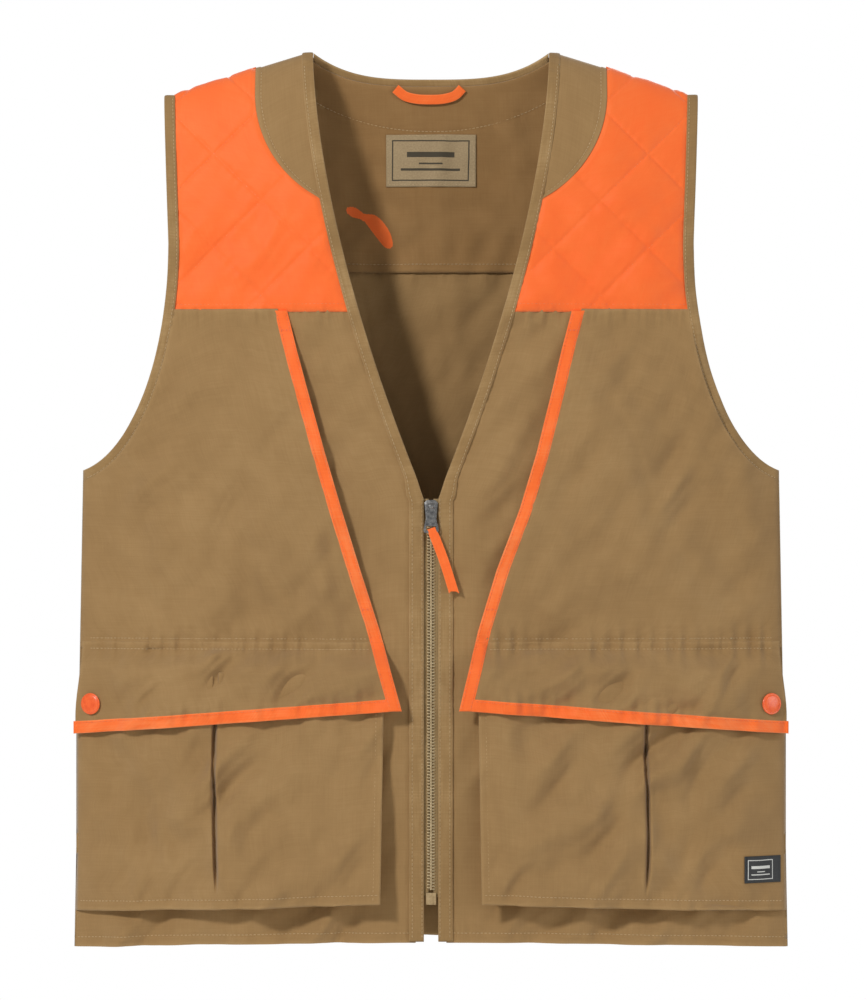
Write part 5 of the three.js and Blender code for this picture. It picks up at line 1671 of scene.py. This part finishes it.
# %% Bag and its tape
def bag_out(x, z):
    across = np.minimum(1, np.abs(x) / BAG_HALF) ** 4
    down = np.clip((-BAG_TOP - z) / (BAG_BOTTOM - BAG_TOP), 0, 1) ** 4
    return OVERLAY_BASE + BAG_DEPTH * (1 - across) * (1 - down)


def bag_shape(x, z):
    """Bag height with slack folds, puckered where its sides and bottom are sewn down."""
    from_side = BAG_HALF - np.abs(x)
    from_low = z + BAG_BOTTOM
    folds = 2.2 * creases(x, z, 121, 0.1, 0.5, 1.1) + 0.8 * creases(x, z, 122, 0.045, -0.7, 1.2)
    fade = ease(from_side / 0.03) * ease(from_low / 0.03) * ease((-BAG_TOP - z) / 0.02)
    near = np.minimum(from_side, from_low)
    rows = 0.35 * MM * bump(near - 7 * MM, 1.2 * MM)
    hem = 0.45 * MM * waves(x, z, 123, 0.011, 0.0, 2.5) * bump(near - 7 * MM, 8 * MM)
    return bag_out(x, z) + folds * MM * fade + hem - rows


bag_y = lambda x, z: on_body(x, z, CLOTH + bag_shape(x, z), 1)
v, u = grid(110, 170)
x, z = mix(-BAG_HALF, BAG_HALF, u), mix(-BAG_BOTTOM, -BAG_TOP + 3 * MM, v)
low = bag_shape(x, z)
outer = points(x, z, low + CLOTH, 1)
bag = shell("bag_cloth", outer, points(x * 0.999, z, low, 1), khaki)
on_root(bag, ["game_bag"])


def bag_tape_edge(t, w):
    return mix(-BAG_HALF, BAG_HALF, t) + 0 * w, -BAG_TOP - 1 * MM + w * TAPE_WIDTH + 0 * t


def bag_tape_out(x, z):
    return bag_shape(x, z) + 0.6 * MM + 0.25 * MM * waves(x, z, 124, 0.02, 0.0, 1.0)


tape = strip("bag_tape", bag_tape_edge, bag_tape_out, 2.3 * MM, 1, orange_tape, 260)
on_root(tape, ["game_bag_tape"])
bag_tape_y = lambda x, z: on_body(x, z, 1.2 * MM + bag_tape_out(x, z), 1)
bx = np.linspace(-BAG_HALF + 3 * MM, BAG_HALF - 3 * MM, 500)
sewn = stitches("bag_tape_stitches", [(bx, np.full(500, -BAG_TOP + 1 * MM))], bag_tape_y,
                orange_thread, thick=0.4 * MM)
on_root(sewn)
cz = np.linspace(-BAG_BOTTOM + 7 * MM, -BAG_TOP, 260)
rows = [(bx[20:-20], np.full(460, -BAG_BOTTOM + 7 * MM))]
rows += [(np.full(260, s * (BAG_HALF - 7 * MM)), cz) for s in (-1, 1)]
sewn = stitches("bag_stitches", rows, bag_y, khaki_thread)
on_root(sewn)
print("bag", [round(s, 3) for s in size_of(outer)])

# %% [markdown]
# ## Zip
# Each half is a woven tape with moulded teeth that mesh at the middle. A tooth is a small
# rounded block with a wider head; the teeth of the two halves are half a pitch apart.

# %% Tapes and teeth
CHAIN_TOP, CHAIN_END, ZIP_TOP = -380.5 * MM, -694 * MM, -372 * MM
CHAIN_Y, CHAIN_THICK, PITCH = -39.6 * MM, 3 * MM, 2.5 * MM


def tooth_rows(side, shift):
    """All the teeth of one half in one array. A tooth's stations run from its root on the
    tape to its head past the middle; each is a rounded oblong whose height swells there."""
    base = np.arange(CHAIN_TOP + shift, CHAIN_END + 1.5 * MM, -PITCH)
    along = np.array([3.3, 3.1, 2.1, 0.9, -0.2, -0.9, -1.1]) * MM
    high = np.array([0.55, 0.8, 0.72, 0.6, 0.82, 0.75, 0.5]) * MM
    deep = np.array([0.7, 0.9, 0.92, 0.88, 0.92, 0.86, 0.6]) * CHAIN_THICK / 2
    angle = 2 * math.pi * (np.arange(8) + 0.5) / 8
    cos, sin = (np.sign(f) * np.abs(f) ** 0.6 for f in (np.cos(angle), np.sin(angle)))
    x = side * along[None, :, None] + 0 * cos
    y = CHAIN_Y + deep[None, :, None] * cos
    z = base[:, None, None] + high[None, :, None] * sin
    return np.stack(np.broadcast_arrays(x, y, z), -1)


def many_tubes(name, rings, material):
    """Many small closed tubes in one mesh: rings is (tubes, stations, round, 3)."""
    count, stations, around = rings.shape[:3]
    at = np.arange(stations * around).reshape(stations, around)
    side = np.roll(at, -1, axis=1)
    quads = np.stack([at[:-1], side[:-1], side[1:], at[1:]], -1).reshape(-1, 4)
    near = np.arange(around // 2 - 1)
    back = around - 1 - near
    cap = np.stack([near, near + 1, back - 1, back], -1)
    one = np.concatenate([quads, cap[:, ::-1], cap + at[-1, 0]])
    if signed_volume(rings[0].reshape(-1, 3), one) < 0:
        one = one[:, ::-1]
    quads = (one[None] + (np.arange(count) * stations * around)[:, None, None]).reshape(-1, 4)
    verts = rings.reshape(-1, 3)
    uv = verts[:, [0, 2]]
    return build(name, verts, quads, uv, np.zeros(len(verts)), material)


for side, wearer in WEARERS.items():
    v, u = grid(160, 8)
    x, z = side * mix(1.9 * MM, 14 * MM, u), mix(CHAIN_END - 4 * MM, ZIP_TOP, v)
    ripple = 0.12 * MM * waves(x, z, 131, 0.05, 1.4, 0.8)
    outer = np.stack([x, CHAIN_Y - 0.4 * MM + ripple, z], -1)
    inner = outer + np.array([0, 0.8 * MM, 0])
    tape = shell(f"{wearer}_zip_tape", outer, inner, zip_tape)
    on_front(tape, side, [f"{wearer}_zip_half"])
    teeth = many_tubes(f"{wearer}_teeth", tooth_rows(side, -PITCH / 2 * (side > 0)), tooth)
    on_front(teeth, side)
print("teeth a side", len(tooth_rows(1, 0)))


# %% Slider, puller and box
def refined(node, name, material, radius, angle=28):
    """A copy of a frame solid, merged, with flat faces joined and its edges rounded."""
    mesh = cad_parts[node].data.copy()
    mesh.materials.clear()
    mesh.materials.append(material)
    shape = bmesh.new()
    shape.from_mesh(mesh)
    bmesh.ops.remove_doubles(shape, verts=shape.verts, dist=1e-6)
    bmesh.ops.dissolve_limit(
        shape, angle_limit=math.radians(1), verts=shape.verts, edges=shape.edges
    )
    sharp = [e for e in shape.edges if e.is_manifold and e.calc_face_angle() > math.radians(angle)]
    bmesh.ops.bevel(shape, geom=sharp, offset=radius, offset_type="OFFSET", segments=3,
                    profile=0.5, affect="EDGES", clamp_overlap=True)
    bmesh.ops.recalc_face_normals(shape, faces=shape.faces)
    shape.to_mesh(mesh)
    shape.free()
    mesh.shade_smooth()
    mesh.set_sharp_from_angle(angle=math.radians(40))
    piece = bpy.data.objects.new(name, mesh)
    bpy.context.collection.objects.link(piece)
    made.append(piece)
    return piece


for node, body, material, slot, radius in (
    ("zip_slider", "zip_slider", gunmetal, "gunmetal", 0.35 * MM),
    ("zip_puller", "zip_puller", gunmetal, "gunmetal", 0.3 * MM),
    ("zip_box", "left_front", tan_plastic, "zip_tan", 0.4 * MM),
):
    piece = refined(node, node + "_cast", material, radius)
    stand_for([node])
    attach(piece, body)
print("cast pieces", 3)

# %% Pull ribbon
RIBBON_TOP, RIBBON_LONG, RIBBON_WIDE, LEAN = (0, -47.7 * MM, -396.1 * MM), 58 * MM, 8 * MM, 20
w, h = section(20, 5.0)
t = np.linspace(0, 1, 70)[:, None]
notch = 3.5 * MM * (1 - np.abs(2 * w - 1)) * t**6
slip = (w[None, :] - 0.3) * 3.0 * MM * t**6
along = t * (RIBBON_LONG - notch + slip - 2 * MM)
across = (w[None, :] - 0.5) * RIBBON_WIDE * mix(0.86, 1.0, ease(t / 0.15))
bow = (1.1 * np.sin(3.0 * t + 0.3) - 0.3) * MM
curl = -0.6 * MM * (2 * w[None, :] - 1) ** 2 * ease(t / 0.3)
lean = math.radians(LEAN)
x = RIBBON_TOP[0] + along * math.sin(lean) + (across + bow) * math.cos(lean)
z = RIBBON_TOP[2] - along * math.cos(lean) + (across + bow) * math.sin(lean)
y = RIBBON_TOP[1] + 0.85 * MM * h[None, :] + curl + 0.5 * MM * np.sin(5 * t) * t
ribbon = tube("ribbon", np.stack(np.broadcast_arrays(x, y, z), -1), orange_tape)
stand_for(["pull_ribbon"])
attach(ribbon, "pull_ribbon")
print("ribbon", RIBBON_LONG, "m")

# %% [markdown]
# ## Hang loop and floor
# The loop is a folded strap whose ends are sewn under the neck binding. The floor is a
# plain pale disc far below, out of the main view.

# %% Hang loop
LOOP_TOP, LOOP_HALF, LOOP_SAG, LOOP_SHIFT, LOOP_WIDE = (v * MM for v in (-28, 25, 8, -2, 8))
loop_x = np.interp(np.linspace(0, 1, 90), np.linspace(0, 1, 6), [-1, -0.72, -0.3, 0.4, 0.8, 1])
loop_drop = np.interp(np.linspace(0, 1, 90), np.linspace(0, 1, 6), [0, 0.75, 1, 1, 0.7, 0])
smooth = np.exp(-np.linspace(-2.2, 2.2, 27) ** 2)
smooth /= smooth.sum()
soften = lambda a: np.convolve(np.concatenate([2 * a[0] - a[13:0:-1], a, 2 * a[-1] - a[-2:-15:-1]]),
                               smooth, "valid")
px = LOOP_SHIFT + LOOP_HALF * soften(loop_x)
pz = LOOP_TOP - LOOP_SAG * soften(loop_drop)
way = np.stack([np.gradient(px), np.gradient(pz)], -1)
way /= np.linalg.norm(way, axis=1, keepdims=True)
w, h = section(20, 4.0)
x = px[:, None] + way[:, 1:] * w[None, :] * LOOP_WIDE
z = pz[:, None] - way[:, :1] * w[None, :] * LOOP_WIDE
loop_bow = np.sin(math.pi * np.linspace(0, 1, 90))[:, None]
loop_out = -6.2 * MM + 0.8 * MM * h[None, :] - 0.5 * MM * loop_bow
y = on_body(x, z, loop_out, 1)
loop = tube("loop_strap", np.stack([x, y, z], -1), orange_tape)
stand_for(["hang_loop"])
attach(loop, "hang_loop")
run = float(arc(np.stack([px, 0 * px, pz], -1)[:, None], 0)[-1, 0])
print("loop", round(run, 4))

# %% Floor
floor_mesh = bpy.data.meshes.new("floor")
ring = np.linspace(0, 2 * math.pi, 96, endpoint=False)
floor_verts = np.stack([1.4 * np.cos(ring), 1.4 * np.sin(ring), np.full(96, -0.95)], -1)
floor_mesh.from_pydata(floor_verts.tolist(), [], [list(range(96))])
floor = bpy.data.objects.new("floor", floor_mesh)
pale = hard("pale_floor", (srgb(232, 232, 230), srgb(240, 240, 238)), 0.0, 0.8)
floor_mesh.materials.append(pale)
bpy.context.collection.objects.link(floor)
print("floor at", -0.95)
